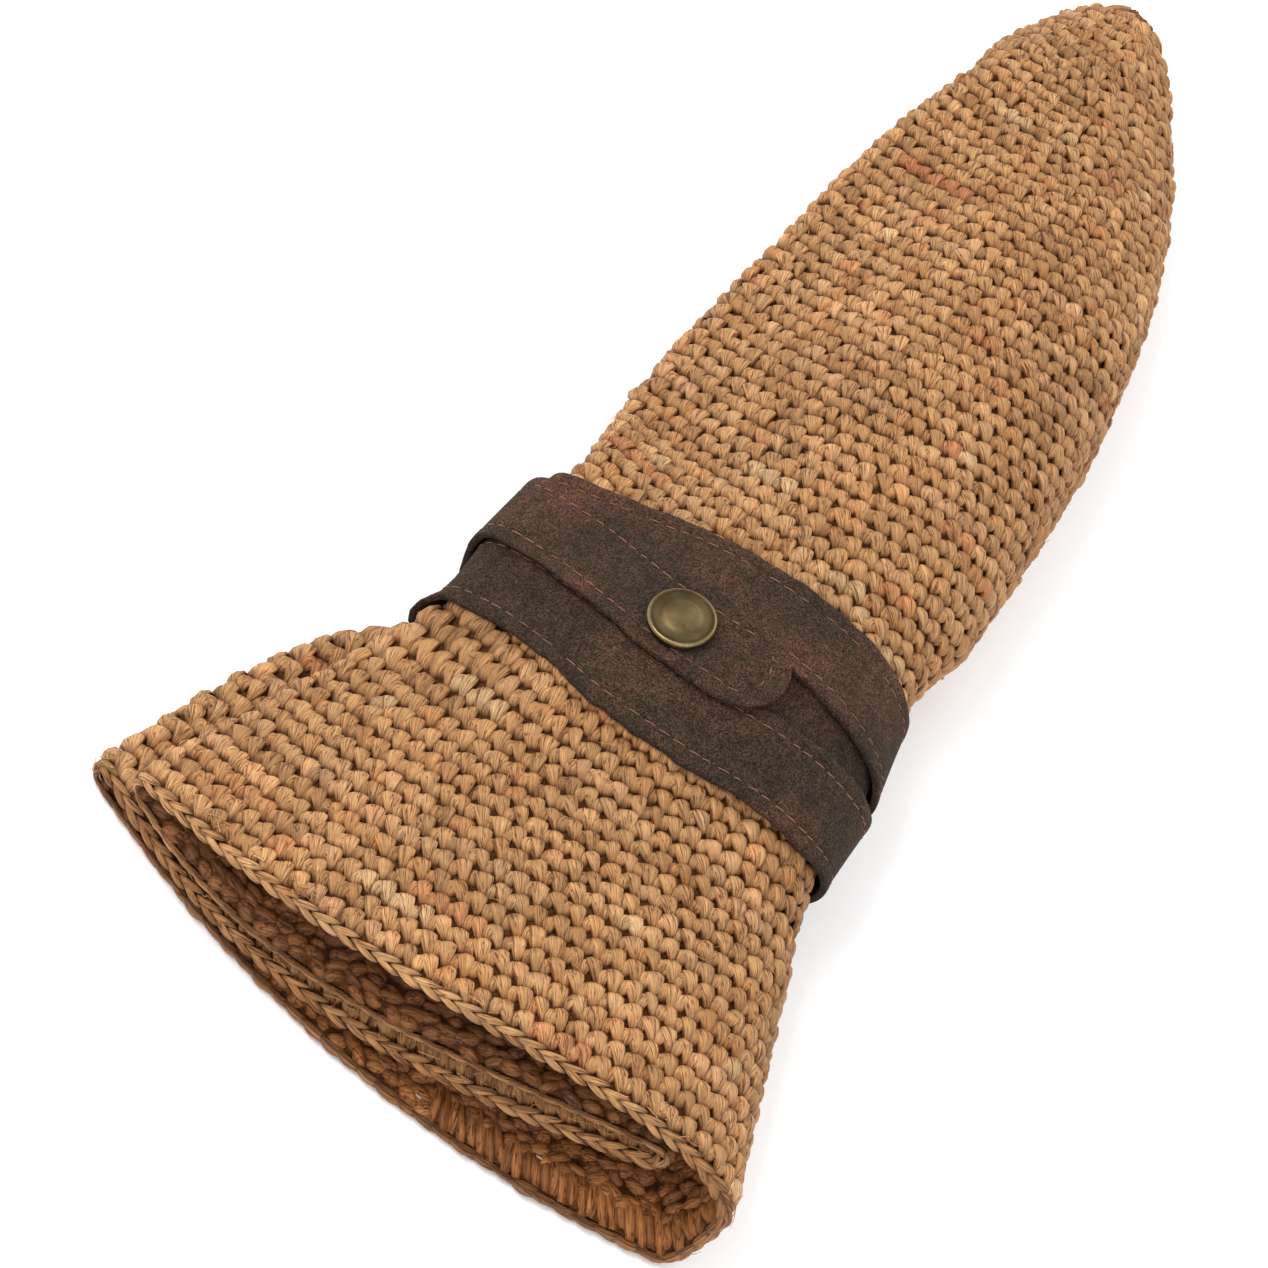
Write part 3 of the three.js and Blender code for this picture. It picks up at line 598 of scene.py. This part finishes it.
def stitch_part(stitches, t, c, centre, half, rise, drop):
    """One leaf of each stitch on a grid of t down it and c across: its centre line and half width
    from tables over t, square across the line, its height the table's less drop times what a
    flattened half ellipse lacks at c. Returns points, colours and the two uv places."""
    total = len(stitches["row"])
    vary = lambda amount: chance.normal(0, amount, total)[:, None, None]
    down = lambda values: np.array(values)[None, :, None]
    t, c = down(t), np.array(c)[None, None, :]
    middle = [down(line) for line in centre]
    ahead = [np.gradient(line, axis=1) for line in middle]
    length = np.hypot(*ahead)
    half = down(half) * (1 + vary(0.09))
    x = middle[0] + c * half * ahead[1] / length + vary(0.12)
    y = middle[1] - c * half * ahead[0] / length + 0.25 * c**2 * (1 - t)**3 + vary(0.14)
    turn = vary(0.09)
    x, y = x + turn * y, y - turn * x
    body = (1 - 0.97 * np.abs(c)**8)**0.5 - 0.12 * c**2
    fold = chance.choice([-0.5, 0.0, 0.5], total)[:, None, None]
    pleat = 0.2 * np.exp(-((c - fold) / 0.2)**2) * smooth(t / 0.3) * (1 + vary(0.4))
    z = down(rise) * (1 + vary(0.1)) - drop * (1 - body)
    z = z + vary(0.28) * c * body - pleat + SHELL_HALF + vary(0.07)
    points = laid(stitches, x, y, z)
    # Painted shade: each leaf's colour darkens, and warms, where it sinks towards the wall between
    # stitches
    depth = 0.24 + 0.76 * smooth((z - SHELL_HALF - 0.15) / 1.15)
    colour = stitches["colour"][:, None, None, :] * (1 + vary(0.045))[..., None]
    colour = colour * depth[..., None] ** np.array([0.75, 1.0, 1.3])
    shift = chance.uniform(0, 40, total)[:, None, None]
    return points, colour, paired(c + shift, t * 1.2 + 3.7 * shift), paired(c + 0 * z, t + 0 * z)


def stitch_leaves(stitches):
    """Each stitch's two leaves: a lobe that bends from its top to the left and down, and a wedge
    with a broad rounded top that narrows down to a point over the lobe's right side."""
    lobe = stitch_part(
        stitches, [0, 0.12, 0.4, 0.65, 0.85, 1], [-1, -0.92, -0.5, 0.5, 0.92, 1],
        ([0.45, 0.05, -0.7, -1.2, -1.45, -1.5], [-1.35, -1.38, -1.05, -0.35, 0.45, 1.15]),
        [0.7, 1.0, 1.28, 1.28, 1.05, 0.6], [0.2, 0.95, 1.4, 1.4, 1.0, 0.0], 1.0)
    wedge = stitch_part(
        stitches, [0, 0.08, 0.22, 0.42, 0.62, 0.82, 1], [-1, -0.92, -0.5, 0, 0.5, 0.92, 1],
        ([0.8, 0.78, 0.72, 0.63, 0.55, 0.46, 0.4], [-2.45, -2.1, -1.3, -0.25, 0.8, 1.85, 2.7]),
        [1.1, 1.55, 1.70, 1.52, 1.18, 0.78, 0.34], [-0.1, 1.0, 1.6, 1.75, 1.6, 1.1, 0.1], 1.1)
    return lobe, wedge


def tucked_in(stitches):
    """True for stitches deep in the folds, which nothing outside can see: those on the two inner
    panels, away from the mouth and from the plain end."""
    line = middle_lines(grid_rows)
    run = np.cumsum(np.abs(np.roll(line, -1, 1) - line), 1)
    along, lap = stitches["along"], np.mod(stitches["lap"], 1.0)
    first, last = (np.interp(along, grid_along, run[:, i] / run[:, -1]) for i in HIDDEN_POINTS)
    return (along > HIDDEN_FROM) & (along < HIDDEN_TO) & (lap > first) & (lap < last)


stitches = rows_of_stitches()
seen = ~tucked_in(stitches)
stitches = {key: values[seen] for key, values in stitches.items()}
stitches["shear"] = shear(stitches)
leaves = stitch_leaves(stitches)
leaf_grids = [(leaf[0].shape[1], leaf[0].shape[2]) for leaf in leaves]
for name, first, last in (("brim_stitches", -9, 48), ("neck_stitches", 48, 122),
                          ("crown_stitches", 122, 200), ("tip_stitches", 200, 999)):
    chosen = (stitches["along"] >= first) & (stitches["along"] < last)
    count = chosen.sum()
    faces, start = [], 0
    for rows, columns in leaf_grids:
        faces.append(start + repeated(grid_faces(rows, columns)[:, ::-1], count, rows * columns))
        start += count * rows * columns
    points, colour, uv, spot = (
        np.concatenate([part[chosen].reshape(-1, part.shape[-1]) for part in same])
        for same in zip(*leaves))
    add_piece(name, points, np.concatenate(faces), raffia, ["hat_body"],
              uv=uv, colour=colour, spot=spot)


def shell():
    """The wall behind the stitches: the middle surface moved out and in by a little under half a
    millimetre, joined round the mouth and closed at the tip."""
    along = np.concatenate([np.linspace(MOUTH_START, 270, 72), np.linspace(272, ROLL_END - 0.3, 10)])
    count = 220
    rows = read_table(SECTIONS, along)
    rows[:, ALONG] = along
    lines, _ = even_lines(middle_lines(rows), count)
    outer = set_in_roll(rows, moved_out(lines, SHELL_HALF))
    inner = set_in_roll(rows, moved_out(lines, -SHELL_HALF))
    points = np.concatenate([inner[::-1], outer]).reshape(-1, 3)
    rings = 2 * len(along)
    poles = np.array([inner[-1].mean(0), outer[-1].mean(0) + [0, 1.0, 0]])
    faces = grid_faces(rings, count, closed=True)[:, ::-1]
    end = (rings - 1) * count
    following = np.roll(np.arange(count), -1)
    caps = [(i, j, len(points)) for i, j in enumerate(following)]
    caps += [(end + j, end + i, len(points) + 1) for i, j in enumerate(following)]
    # Painted shade: the wall's dark material stands in for the shade in the holes between stitches
    add_piece("raffia_wall", np.vstack([points, poles]), faces, raffia_painted_shade,
                     ["hat_body"], extra_faces=caps)


shell()


def tip_button():
    """The drawn-up strands at the tip: from a ring of the wall to a point in front of it, swelling
    as a circle does, with shallow pleats round it as a cosine."""
    lap = np.arange(48) / 48
    ring, out = on_roll(ROLL_END - 1.6, lap)
    share = np.sin(np.linspace(1, 0.02, 9) * np.pi / 2)[:, None, None]
    ring = ring + out * 0.9
    middle = ring.mean(0)
    pleat = 1 + 0.05 * np.cos(2 * np.pi * 8 * lap)[None, :, None]
    swell = np.array([0, 2.4, 0]) * np.sqrt(1 - 0.999 * share**2)
    points = middle + (ring - middle) * share * pleat + swell
    faces = grid_faces(9, 48, closed=True)
    end = [tuple(8 * 48 + i for i in range(48))]
    add_piece("tip_button", points, faces, raffia, ["hat_body"], extra_faces=end,
              uv=paired(lap[None] * 9, share[..., 0] * 2),
              colour=np.broadcast_to(0.75 * TAN, points.shape))


tip_button()


# Painted shade: the inner face's stitches are painted darker than the same raffia outside
INSIDE_SHADE = np.array([0.48, 0.35, 0.25])
INSIDE_DEPTH = 46
LOWEST_FROM, LOWEST_TO = 0.78, 0.05  # these laps run on across 1, as do the next two
TALL_FROM, TALL_TO = 0.912, 0.04


def inner_bars():
    """The hat's inner face near the mouth: each stitch shows a long lump across and a short one
    under it, half ellipses in both directions, standing in from the wall. In the first rows of the
    lowest layer's right half they stand along the roll instead, as two tall posts."""
    chosen = stitches["along"] < INSIDE_DEPTH
    each = lambda key: stitches[key][chosen][:, None, None, None]
    total = chosen.sum()
    t = np.linspace(-1, 1, 6)[None, None, :, None]
    c = np.linspace(-1, 1, 5)[None, None, None, :]
    pair = lambda first, second: np.array([first, second])[None, :, None, None]

    def vary(amount):
        drawn = chance.normal(0, amount, (total, 2))
        return np.clip(drawn, -2 * amount, 2 * amount)[:, :, None, None]

    long, wide = (pair(*sizes) * (1 + vary(0.13)) for sizes in ((0.64, 0.48), (0.38, 0.38)))
    x = pair(0.0, 0.34) + vary(0.13) + long * t + 0.1 * c
    y = pair(-0.22, 0.28) + vary(0.10) + wide * c * np.sqrt(1 - 0.8 * t**2) - (0.12 + vary(0.12)) * t
    lap = np.mod(each("lap"), 1.0)
    tall = (each("row") == 0) & ((lap > TALL_FROM) | (lap < TALL_TO))
    lowest = (lap > LOWEST_FROM) | (lap < LOWEST_TO)
    # Painted light and shade: the tall posts and the lowest layer's lumps, nearer the light, are
    # painted lighter than those deeper in
    level = np.where(tall, 1.6, np.where(lowest, 1.5, 0.92))[..., None]
    post = pair(-0.24, 0.24) + vary(0.06) + 0.34 * c * np.sqrt(1 - 0.7 * t**2)
    x = np.where(tall, post + (0.14 + vary(0.1)) * t, x)
    y = np.where(tall, vary(0.08) - 0.36 + 0.94 * t * (1 + vary(0.1)), y)
    z = SHELL_HALF - 0.3 + 1.35 * (1 + vary(0.1)) * np.sqrt((1 - 0.97 * c**2) * (1 - 0.9 * t**2))
    place, out = on_roll(
        each("along") - y * each("height"), each("lap") + x * each("width") / each("loop"))
    # Painted shade: each lump darkens towards its base on the wall
    depth = 0.6 + 0.4 * smooth((z - 0.4) / 0.9)
    shade = INSIDE_SHADE * level * (1 + vary(0.12))[..., None]
    colour = shade * STRAND_TONES[chance.choice(PLAIN_TONES, (total, 2))][:, :, None, None, :]
    colour = colour * depth[..., None] ** np.array([0.9, 1.0, 1.3])
    shift = chance.uniform(0, 40, (total, 2))[:, :, None, None]
    faces = repeated(grid_faces(6, 5), 2 * total, 30)
    add_piece("inner_stitches", place - out * z[..., None], faces, raffia, ["hat_body"],
              uv=paired((c + 1) / 2 + shift, t + 3.7 * shift), colour=colour)


inner_bars()


CHAIN_LINKS, CHAIN_OUT = 126, 0.25
# Laps from the seam round to it again, with how far the chain turns under and its painted light and
# shade, set by the layer each lap lies in
CHAIN_UNDER = ([0, 0.03, 0.06, 0.76, 0.8, 1], [1, 1, 0, 0, 1, 1])
CHAIN_PAINTED_LIGHT = ([0, 0.04, 0.07, 0.30, 0.36, 0.5, 0.56, 0.74, 0.79, 1],
               [0.55, 0.55, 1, 1, 0.6, 0.6, 0.66, 0.6, 0.5, 0.5])


def edge_chain():
    """The chain along the brim's edge: two leaning leaves to each link, one from each side to the
    middle. A leaf is a tube whose radius swells and shrinks as a sine along it."""
    total = 2 * CHAIN_LINKS
    lap = (np.repeat(np.arange(CHAIN_LINKS), 2) + chance.normal(0, 0.04, total)) / CHAIN_LINKS
    side = np.tile([1.0, -1.0], CHAIN_LINKS)[:, None]
    t = np.linspace(0, 1, 8)[None]
    at = lap[:, None] + (1.45 * (t - 0.5) + 0.12 * side) / CHAIN_LINKS
    edge, out = on_roll(MOUTH_START - CHAIN_OUT, at)
    ahead, _ = on_roll(MOUTH_START - CHAIN_OUT, at + 0.002)
    back, _ = on_roll(MOUTH_START + 2.0, at)
    along_edge = unit(ahead - edge)
    away = unit(edge - back)
    facing = unit(0.9 * away + 0.55 * out)
    outer = unit(np.cross(facing, along_edge))
    outer = outer * np.sign((outer * out).sum(-1, keepdims=True))
    sway = side * 1.15 * (1 - smooth(t * 1.05)) * (1 + chance.normal(0, 0.06, (total, 1)))
    lift = 0.15 + 0.75 * np.sin(np.pi * (0.1 + 0.8 * t)) - 0.35 * t
    core = edge + outer * sway[..., None] + facing * lift[..., None]
    step = unit(np.gradient(core, axis=1))
    flat = unit(np.cross(facing, step))
    lie = unit(np.cross(step, flat))
    under = np.interp(np.mod(lap, 1), *CHAIN_UNDER)[:, None]
    size = (0.16 + 0.84 * np.sin(np.pi * t)**0.6) * (1 + chance.normal(0, 0.08, (total, 1)))
    size = size * (1 + under * (0.7 + chance.normal(0, 0.25, (total, 1))))
    points = tubes(core, flat, lie, 8, 0.74 * size, 0.5 * size)
    # Painted light and shade: each leaf is made lighter or darker by the layer its lap lies in
    shade = np.interp(np.mod(lap, 1), *CHAIN_PAINTED_LIGHT) * (1 + chance.normal(0, 0.09, total))
    shade = shade[:, None] ** np.array([0.8, 1.05, 1.35])
    colour = STRAND_TONES[chance.choice(PLAIN_TONES, total)] * shade
    # Painted shade: each leaf darkens towards its two ends, where it tucks into the chain
    colour = colour[:, None, None, :] * (0.35 + 0.65 * np.sin(np.pi * t)**0.5)[..., None, None]
    shift = chance.uniform(0, 40, (total, 1, 1))
    corner = np.arange(8)[None, None]
    spot = paired(np.cos(corner * np.pi / 4) + 0 * shift, t[..., None])
    faces = repeated(grid_faces(8, 8, closed=True), total, 64)
    add_piece("edge_chain", points, faces, raffia, ["hat_body"], spot=spot,
              uv=paired(corner / 4 + shift, t[..., None] + shift),
              colour=np.broadcast_to(colour, points.shape))


edge_chain()


def loose_fibres():
    """Fine fibres that have come away from the strands: thin tapered tubes lying over the stitches,
    nearly half of them at the mouth, each bent by a part of a sine and lifted at its free end."""
    count = 420
    along = chance.choice([0.0, 1.0], count, p=[0.45, 0.55]) * chance.uniform(8, 215, count)
    along = along + MOUTH_START + chance.uniform(-0.4, 1.6, count)
    lap = chance.random(count)
    reach = chance.uniform(1.5, 5.5, count)[:, None]
    way = chance.uniform(-math.pi, math.pi, count)[:, None]
    t = np.linspace(0, 1, 7)[None]
    bend = chance.normal(0, 0.9, count)[:, None] * np.sin(1.6 * t)
    across, down = reach * t * np.cos(way + bend), 0.6 * reach * t * np.sin(way + bend)
    core, out = on_roll(np.maximum(along[:, None] - down, MOUTH_START - 1.2),
                        lap[:, None] + across / length_round(0.0))
    core = core + out * (1.95 + chance.uniform(0.0, 0.9, count)[:, None] * t**2)[..., None]
    step = unit(np.gradient(core, axis=1))
    over = unit(np.cross(out, step))
    up = np.cross(step, over)
    size = 0.11 * (1 - 0.75 * t**2) * chance.uniform(0.6, 1.3, count)[:, None]
    points = tubes(core, over, up, 4, size, size)
    colour = STRAND_TONES[chance.choice(len(STRAND_TONES), count)]
    colour = (colour * chance.uniform(0.8, 1.25, count)[:, None])[:, None, None]
    ends = np.array([[0, 1, 2, 3], [27, 26, 25, 24]])
    faces = np.concatenate([grid_faces(7, 4, closed=True), ends])
    add_piece("loose_fibres", points, repeated(faces, count, 28), raffia, ["hat_body"],
              uv=np.zeros((*points.shape[:3], 2)) + t[0][None, :, None, None],
              colour=np.broadcast_to(colour, points.shape))


loose_fibres()


def wire_glints():
    """Short lengths of the clear wire in the brim's edge, where it shows between the stitches of the
    lowest layer: capsules along the edge, just inside it."""
    lap = np.array([0.779, 0.793, 0.836, 0.905, 0.953])[:, None]
    inward = np.array([0.2, 0.4, 0.3, 1.5, 5.0])[:, None]
    t = np.linspace(0, 1, 5)[None]
    edge, out = on_roll(MOUTH_START + inward, lap + 1.3 * t / length_round(0.0))
    core = edge - out * 1.35
    step = unit(np.gradient(core, axis=1))
    over = unit(np.cross(out, step))
    size = 0.22 * np.sin(np.pi * (0.08 + 0.84 * t))**0.5
    ends = np.array([[0, 1, 2, 3], [0, 3, 4, 5], [27, 26, 25, 24], [29, 28, 27, 24]])
    faces = np.concatenate([grid_faces(5, 6, closed=True), ends])
    add_piece("wire_glints", tubes(core, over, out, 6, size, size), repeated(faces, 5, 30), wire,
              ["hat_body"])


wire_glints()

# ---- the suede strap, wound as in the part's source

STRAP_WIDTH, STRAP_THICKNESS, STRAP_CLEARANCE = 18.0, 1.4, 0.6
STRAP_HALF = STRAP_WIDTH / 2
LAYER = STRAP_THICKNESS + 0.3
SEWN_INSET, SEWN_PITCH = 2.9, 3.1
TONGUE_TURN = 138  # the length in mm of a whole turn where the tongue lies
STRAP_START, TONGUE_END, TONGUE_ROUNDING = -9 / 96, 3.095, 0.045
STRAP_WAY = np.array([
    [-0.10, 93.5, 0, 0], [0.25, 93.5, 0, 0], [0.50, 99.5, 0, 0], [0.75, 105.7, 0, 0],
    [0.84, 105.7, 0.05, 0.4], [0.89, 105.7, 0.35, 1.5], [1.25, 105.7, 0.35, 1.5],
    [1.30, 104.5, 0.6, 1.4], [1.38, 101, 1.15, 1.2], [1.62, 91.5, 1.2, 1.15], [1.71, 87.6, 1.2, 0.6],
    [1.76, 86.6, 0.25, 0], [1.82, 82.6, 0.25, 0], [1.88, 79.2, 1.5, 0.25], [1.96, 77.7, 1.3, 0.25],
    [2.06, 77.4, 1.25, 0.3], [2.18, 81.2, 1.5, 0.45], [2.25, 85.4, 1.9, 0.6], [2.30, 87.4, 2.5, 1.4],
    [2.38, 90.5, 2.5, 2.2], [2.50, 95.5, 2.4, 2.4], [2.62, 99.5, 2.35, 2.4], [2.70, 101.4, 2, 2.4],
    [2.75, 101.8, 1.3, 1.6], [2.80, 98.8, 1.35, 1.65], [2.85, 95, 2, 2.2], [2.90, 92.2, 2.6, 2.75],
    [2.95, 90.9, 2.65, 2.6], [3.00, 90.6, 2.65, 2.5], [3.13, 90.6, 2.65, 2.5],
])
TURN, MIDDLE, TIP_SIDE, MOUTH_SIDE = range(4)
AXIS_X, AXIS_Z = 5.5, 21.0
CUT_STEP = 4.0
CUTS = np.arange(64.0, 125.0, CUT_STEP)
REACH_ANGLES = np.radians(90 - 2.0 * np.arange(180))


def winding_outlines():
    """The roll cut square across at each cut, kept as its reach from the winding axis in every
    direction: the largest of x cos + z sin over the cut's points."""
    along = np.arange(40.0, 133.0, 2.0)
    rows = read_table(SECTIONS, along)
    rings = set_in_roll(rows, moved_out(middle_lines(rows), 1.5))
    number = np.arange(rings.shape[1])
    outlines = []
    for cut in CUTS + MOUTH_Y:
        past = np.argmax(rings[:, :, 1] > cut, axis=0)
        a, b = rings[past - 1, number], rings[past, number]
        points = a + (b - a) * ((cut - a[:, 1]) / (b[:, 1] - a[:, 1]))[:, None]
        reach = (np.outer(points[:, 0] - AXIS_X, np.cos(REACH_ANGLES))
                 + np.outer(points[:, 2] - AXIS_Z, np.sin(REACH_ANGLES)))
        outlines.append(reach.max(0))
    return np.array(outlines)


outlines = winding_outlines()


def winding_point(turn, along, height):
    """A point wound on the roll: at a turn, a distance from the mouth and a height over the raffia.
    Its distance from the axis is the least (reach + height) / cos over the directions it faces."""
    turn, along, height = np.broadcast_arrays(turn, along, height)
    shape = turn.shape
    turn, along, height = turn.ravel(), along.ravel(), height.ravel()
    place = np.clip((along - CUTS[0]) / CUT_STEP, 0, len(outlines) - 1.001)
    low = place.astype(int)
    share = (place - low)[:, None]
    angle = np.radians(90 - 360 * turn)
    facing = np.cos(angle[:, None] - REACH_ANGLES[None])
    reach = outlines[low] * (1 - share) + outlines[low + 1] * share + height[:, None]
    radius = np.where(facing > 0.05, reach / np.maximum(facing, 0.05), np.inf).min(1)
    x, z = AXIS_X + radius * np.cos(angle), AXIS_Z + radius * np.sin(angle)
    return np.stack([x, along + MOUTH_Y, z], -1).reshape(*shape, 3)


def on_strap(turn, across, rise):
    """A point of the strap: at a turn, across mm from its middle and rise mm over its underside."""
    way = read_table(STRAP_WAY, np.ravel(turn)).reshape(*np.shape(turn), 4)
    tilt = (way[..., TIP_SIDE] - way[..., MOUTH_SIDE]) / 2
    level = (way[..., TIP_SIDE] + way[..., MOUTH_SIDE]) / 2
    height = STRAP_CLEARANCE + LAYER * (level + tilt * across / STRAP_HALF) + rise
    return winding_point(turn, way[..., MIDDLE] + across, height)


def strap():
    """The ribbon: a profile with rounded edges and a shallow sewn groove near each, carried round
    the winding. Its half width shrinks as a cosine at the tongue, and its edges waver a little."""
    straight = np.arange(STRAP_START, TONGUE_END - TONGUE_ROUNDING, 1 / 260)
    angle = np.linspace(0, 0.985, 14) * np.pi / 2
    turn = np.concatenate([straight, TONGUE_END - TONGUE_ROUNDING * (1 - np.sin(angle))])
    half = STRAP_HALF * np.concatenate([np.ones(len(straight)), np.cos(angle)])
    share = np.concatenate([
        [-0.965, -0.5, 0, 0.5, 0.965, 0.992, 1.0, 1.0, 0.992],
        [0.965, 0.9, 0.82, 0.75, 0.70, 0.68, 0.66, 0.6, 0.5, 0.25, 0],
        [-0.25, -0.5, -0.6, -0.66, -0.68, -0.70, -0.75, -0.82, -0.9, -0.965],
        [-0.992, -1.0, -1.0, -0.992],
    ])
    inset = STRAP_HALF * (1 - np.abs(share))
    rise = np.concatenate([
        np.zeros(5), [0.1, 0.4, 1.0, 1.28], np.full(21, STRAP_THICKNESS), [1.28, 1.0, 0.4, 0.1],
    ])
    top = rise == STRAP_THICKNESS
    groove = 0.2 * np.exp(-((inset - SEWN_INSET) / 0.45)**2)
    swell = 0.10 * np.exp(-((inset - 1.3) / 0.8)**2)
    rise = rise + np.where(top, swell - groove, 0)
    wander = 0.16 * np.sin(61 * turn) + 0.12 * np.sin(143 * turn + 1.0) + 0.06 * np.sin(411 * turn)
    across = half[:, None] * (share + (wander / STRAP_HALF)[:, None] * share**3)
    points = on_strap(*np.broadcast_arrays(turn[:, None], across, rise))
    rings, count = across.shape
    last = (rings - 1) * count
    ends = [tuple(range(count)), tuple(last + i for i in reversed(range(count)))]
    faces = grid_faces(rings, count, closed=True)
    add_piece("suede_strap", points, faces, suede, ["band"], extra_faces=ends)


strap()


def sewn_threads():
    """The strap's two sewn lines, joined round the tongue: short threads, each a closed capsule
    along the line, its ends dipping into the suede."""
    side = STRAP_HALF - SEWN_INSET
    straight = np.arange(STRAP_START + 0.01, TONGUE_END - TONGUE_ROUNDING, 1 / 900)
    angle = np.linspace(-1, 1, 121) * np.pi / 2
    reach = TONGUE_ROUNDING - SEWN_INSET / TONGUE_TURN
    bend = TONGUE_END - TONGUE_ROUNDING + reach * np.cos(angle)
    turn = np.concatenate([straight, bend, straight[::-1]])
    even = np.ones(len(straight))
    across = side * np.concatenate([-even, np.sin(angle), even])
    line = on_strap(turn, across, np.full_like(turn, STRAP_THICKNESS - 0.16))
    lifted = on_strap(turn, across, np.full_like(turn, STRAP_THICKNESS + 0.84))
    run = np.concatenate([[0], np.cumsum(np.linalg.norm(np.diff(line, axis=0), axis=1))])
    start = np.arange(1.0, run[-1] - 3.2, SEWN_PITCH)
    start = (start + chance.uniform(0, 0.7, len(start)))[chance.random(len(start)) > 0.08]
    length = chance.uniform(1.5, 2.5, (len(start), 1))
    t = np.linspace(0, 1, 6)
    at = start[:, None] + length * t[None]
    read = lambda values: np.stack([np.interp(at, run, values[:, i]) for i in range(3)], -1)
    core, up = read(line), unit(read(lifted) - read(line))
    ahead = unit(np.gradient(core, axis=1))
    over = unit(np.cross(up, ahead))
    size = 0.14 * (0.25 + 0.75 * np.sin(np.pi * (0.06 + 0.88 * t))**0.5)[None]
    core = core + up * (-0.02 + 0.16 * np.sin(np.pi * t))[None, :, None]
    core = core + over * (0.12 * (t - 0.5))[None, :, None]
    faces = repeated(grid_faces(6, 6, closed=True), len(start), 36)
    add_piece("sewn_threads", tubes(core, over, up, 6, size, size), faces, thread, ["band"])


sewn_threads()

# ---- the snap's cap

CAP_TURN, CAP_ALONG, SEAT_GAP = -0.05, 90.4, 0.33


def snap_cap():
    """A turned cap: its profile carried round the axis that stands square on the winding. A rolled
    rim, a fine ring inside it and a low dome. A profile's row is radius, height and lightness."""
    way = read_table(STRAP_WAY, 3 + CAP_TURN)[0]
    level = (way[TIP_SIDE] + way[MOUTH_SIDE]) / 2
    height = STRAP_CLEARANCE + LAYER * level + STRAP_THICKNESS + SEAT_GAP
    seat, after, before = winding_point(CAP_TURN + np.array([0, 1, -1]) / 96, CAP_ALONG, height)
    run = after - before
    axis = unit(np.array([-run[2], 0, run[0]]))
    one = np.array([0.0, 1.0, 0.0])
    two = np.cross(axis, one)
    # Painted light and shade: the lightness column makes the rolled rim light on its top, a painted
    # highlight, and darker down its outer side and underneath, painted shade
    profile = np.array([
        [0.0, -0.1, 0.4], [5.6, -0.1, 0.4], [6.2, 0.05, 0.5], [6.4, 0.4, 0.7], [6.42, 0.9, 1.0],
        [6.36, 1.25, 1.5], [6.2, 1.5, 1.6], [6.0, 1.6, 1.4], [5.8, 1.6, 0.7], [5.6, 1.56, 0.42],
        [5.4, 1.55, 0.5], [4.9, 1.62, 0.66], [4.2, 1.72, 0.68], [3.7, 1.8, 0.72], [3.4, 1.9, 0.92],
        [2.4, 2.0, 0.98], [1.2, 2.06, 1.0], [0.0, 2.08, 1.0],
    ])
    around = np.radians(np.arange(96) * 3.75)
    ring = np.cos(around)[None, :, None] * one + np.sin(around)[None, :, None] * two
    radius, height, light = profile.T[:, :, None, None]
    points = seat + ring * np.maximum(radius, 1e-3) + height * axis
    colour = np.broadcast_to(tone(110, 93, 64) * light, points.shape)
    faces = grid_faces(len(profile), 96, closed=True)
    add_piece("brass_cap", points, faces, brass, ["snap_cap"], colour=colour)


snap_cap()
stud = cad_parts["snap_stud"]
stud.data.materials.clear()
stud.data.materials.append(brass)

# ---- floor, light and camera

floor_mesh = bpy.data.meshes.new("floor")
floor_mesh.from_pydata([(-6, -6, 0), (6, -6, 0), (6, 6, 0), (-6, 6, 0)], [], [(0, 1, 2, 3)])
floor_mesh.materials.append(floor_material())
floor = bpy.data.objects.new("floor", floor_mesh)
bpy.context.scene.collection.objects.link(floor)

world = bpy.data.worlds.new("studio")
bpy.context.scene.world = world
world.use_nodes = True
background = world.node_tree.nodes["Background"]
background.inputs["Color"].default_value = (1, 1, 1, 1)
background.inputs["Strength"].default_value = 0.84


def set_up(name, data, right, up, back, place):
    """A light or camera at a place in metres, turned to three axes of its own."""
    thing = bpy.data.objects.new(name, data)
    bpy.context.scene.collection.objects.link(thing)
    axes = np.column_stack([right, up, back, place])
    thing.matrix_world = Matrix([*axes.tolist(), [0, 0, 0, 1]])
    return thing


def softbox(name, place, size, power):
    """A square area light at a place in metres, turned to the part's origin."""
    light = bpy.data.lights.new(name, "AREA")
    light.shape, light.size, light.energy = "SQUARE", size, power
    back = unit(np.array(place))
    right = unit(np.cross([0, 0, 1.0], back))
    set_up(name, light, right, np.cross(back, right), back, place)


softbox("key", (-0.75, -0.25, 1.15), 0.7, 14.0)
softbox("fill", (0.7, -0.9, 1.0), 1.0, 7.0)
softbox("back", (0.3, 1.1, 0.9), 1.0, 7.0)

PHOTO_WIDTH, PHOTO_FOCAL_LENGTH = 1268, 6600  # in pixels
LOOKED_AT = np.array([ROLL_X - 6.6, 101 + MOUTH_Y, 15]) / 1000


def photo_camera():
    """The photo's view: 55 degrees above the floor from the mouth's side, rolled by 37.2 degrees."""
    elevation, roll, distance = math.radians(55), math.radians(37.2), 1.2
    back = np.array([0, -math.cos(elevation), math.sin(elevation)])
    level = np.array([1.0, 0, 0])
    above = np.array([0, math.sin(elevation), math.cos(elevation)])
    right = math.cos(roll) * level + math.sin(roll) * above
    up = -math.sin(roll) * level + math.cos(roll) * above
    lens = bpy.data.cameras.new("camera")
    lens.sensor_width = 36.0
    lens.lens = lens.sensor_width * PHOTO_FOCAL_LENGTH / PHOTO_WIDTH
    lens.clip_start, lens.clip_end = 0.05, 20
    place = LOOKED_AT + distance * back
    bpy.context.scene.camera = set_up("camera", lens, right, up, back, place)


photo_camera()
bpy.context.scene.view_settings.view_transform = "Standard"
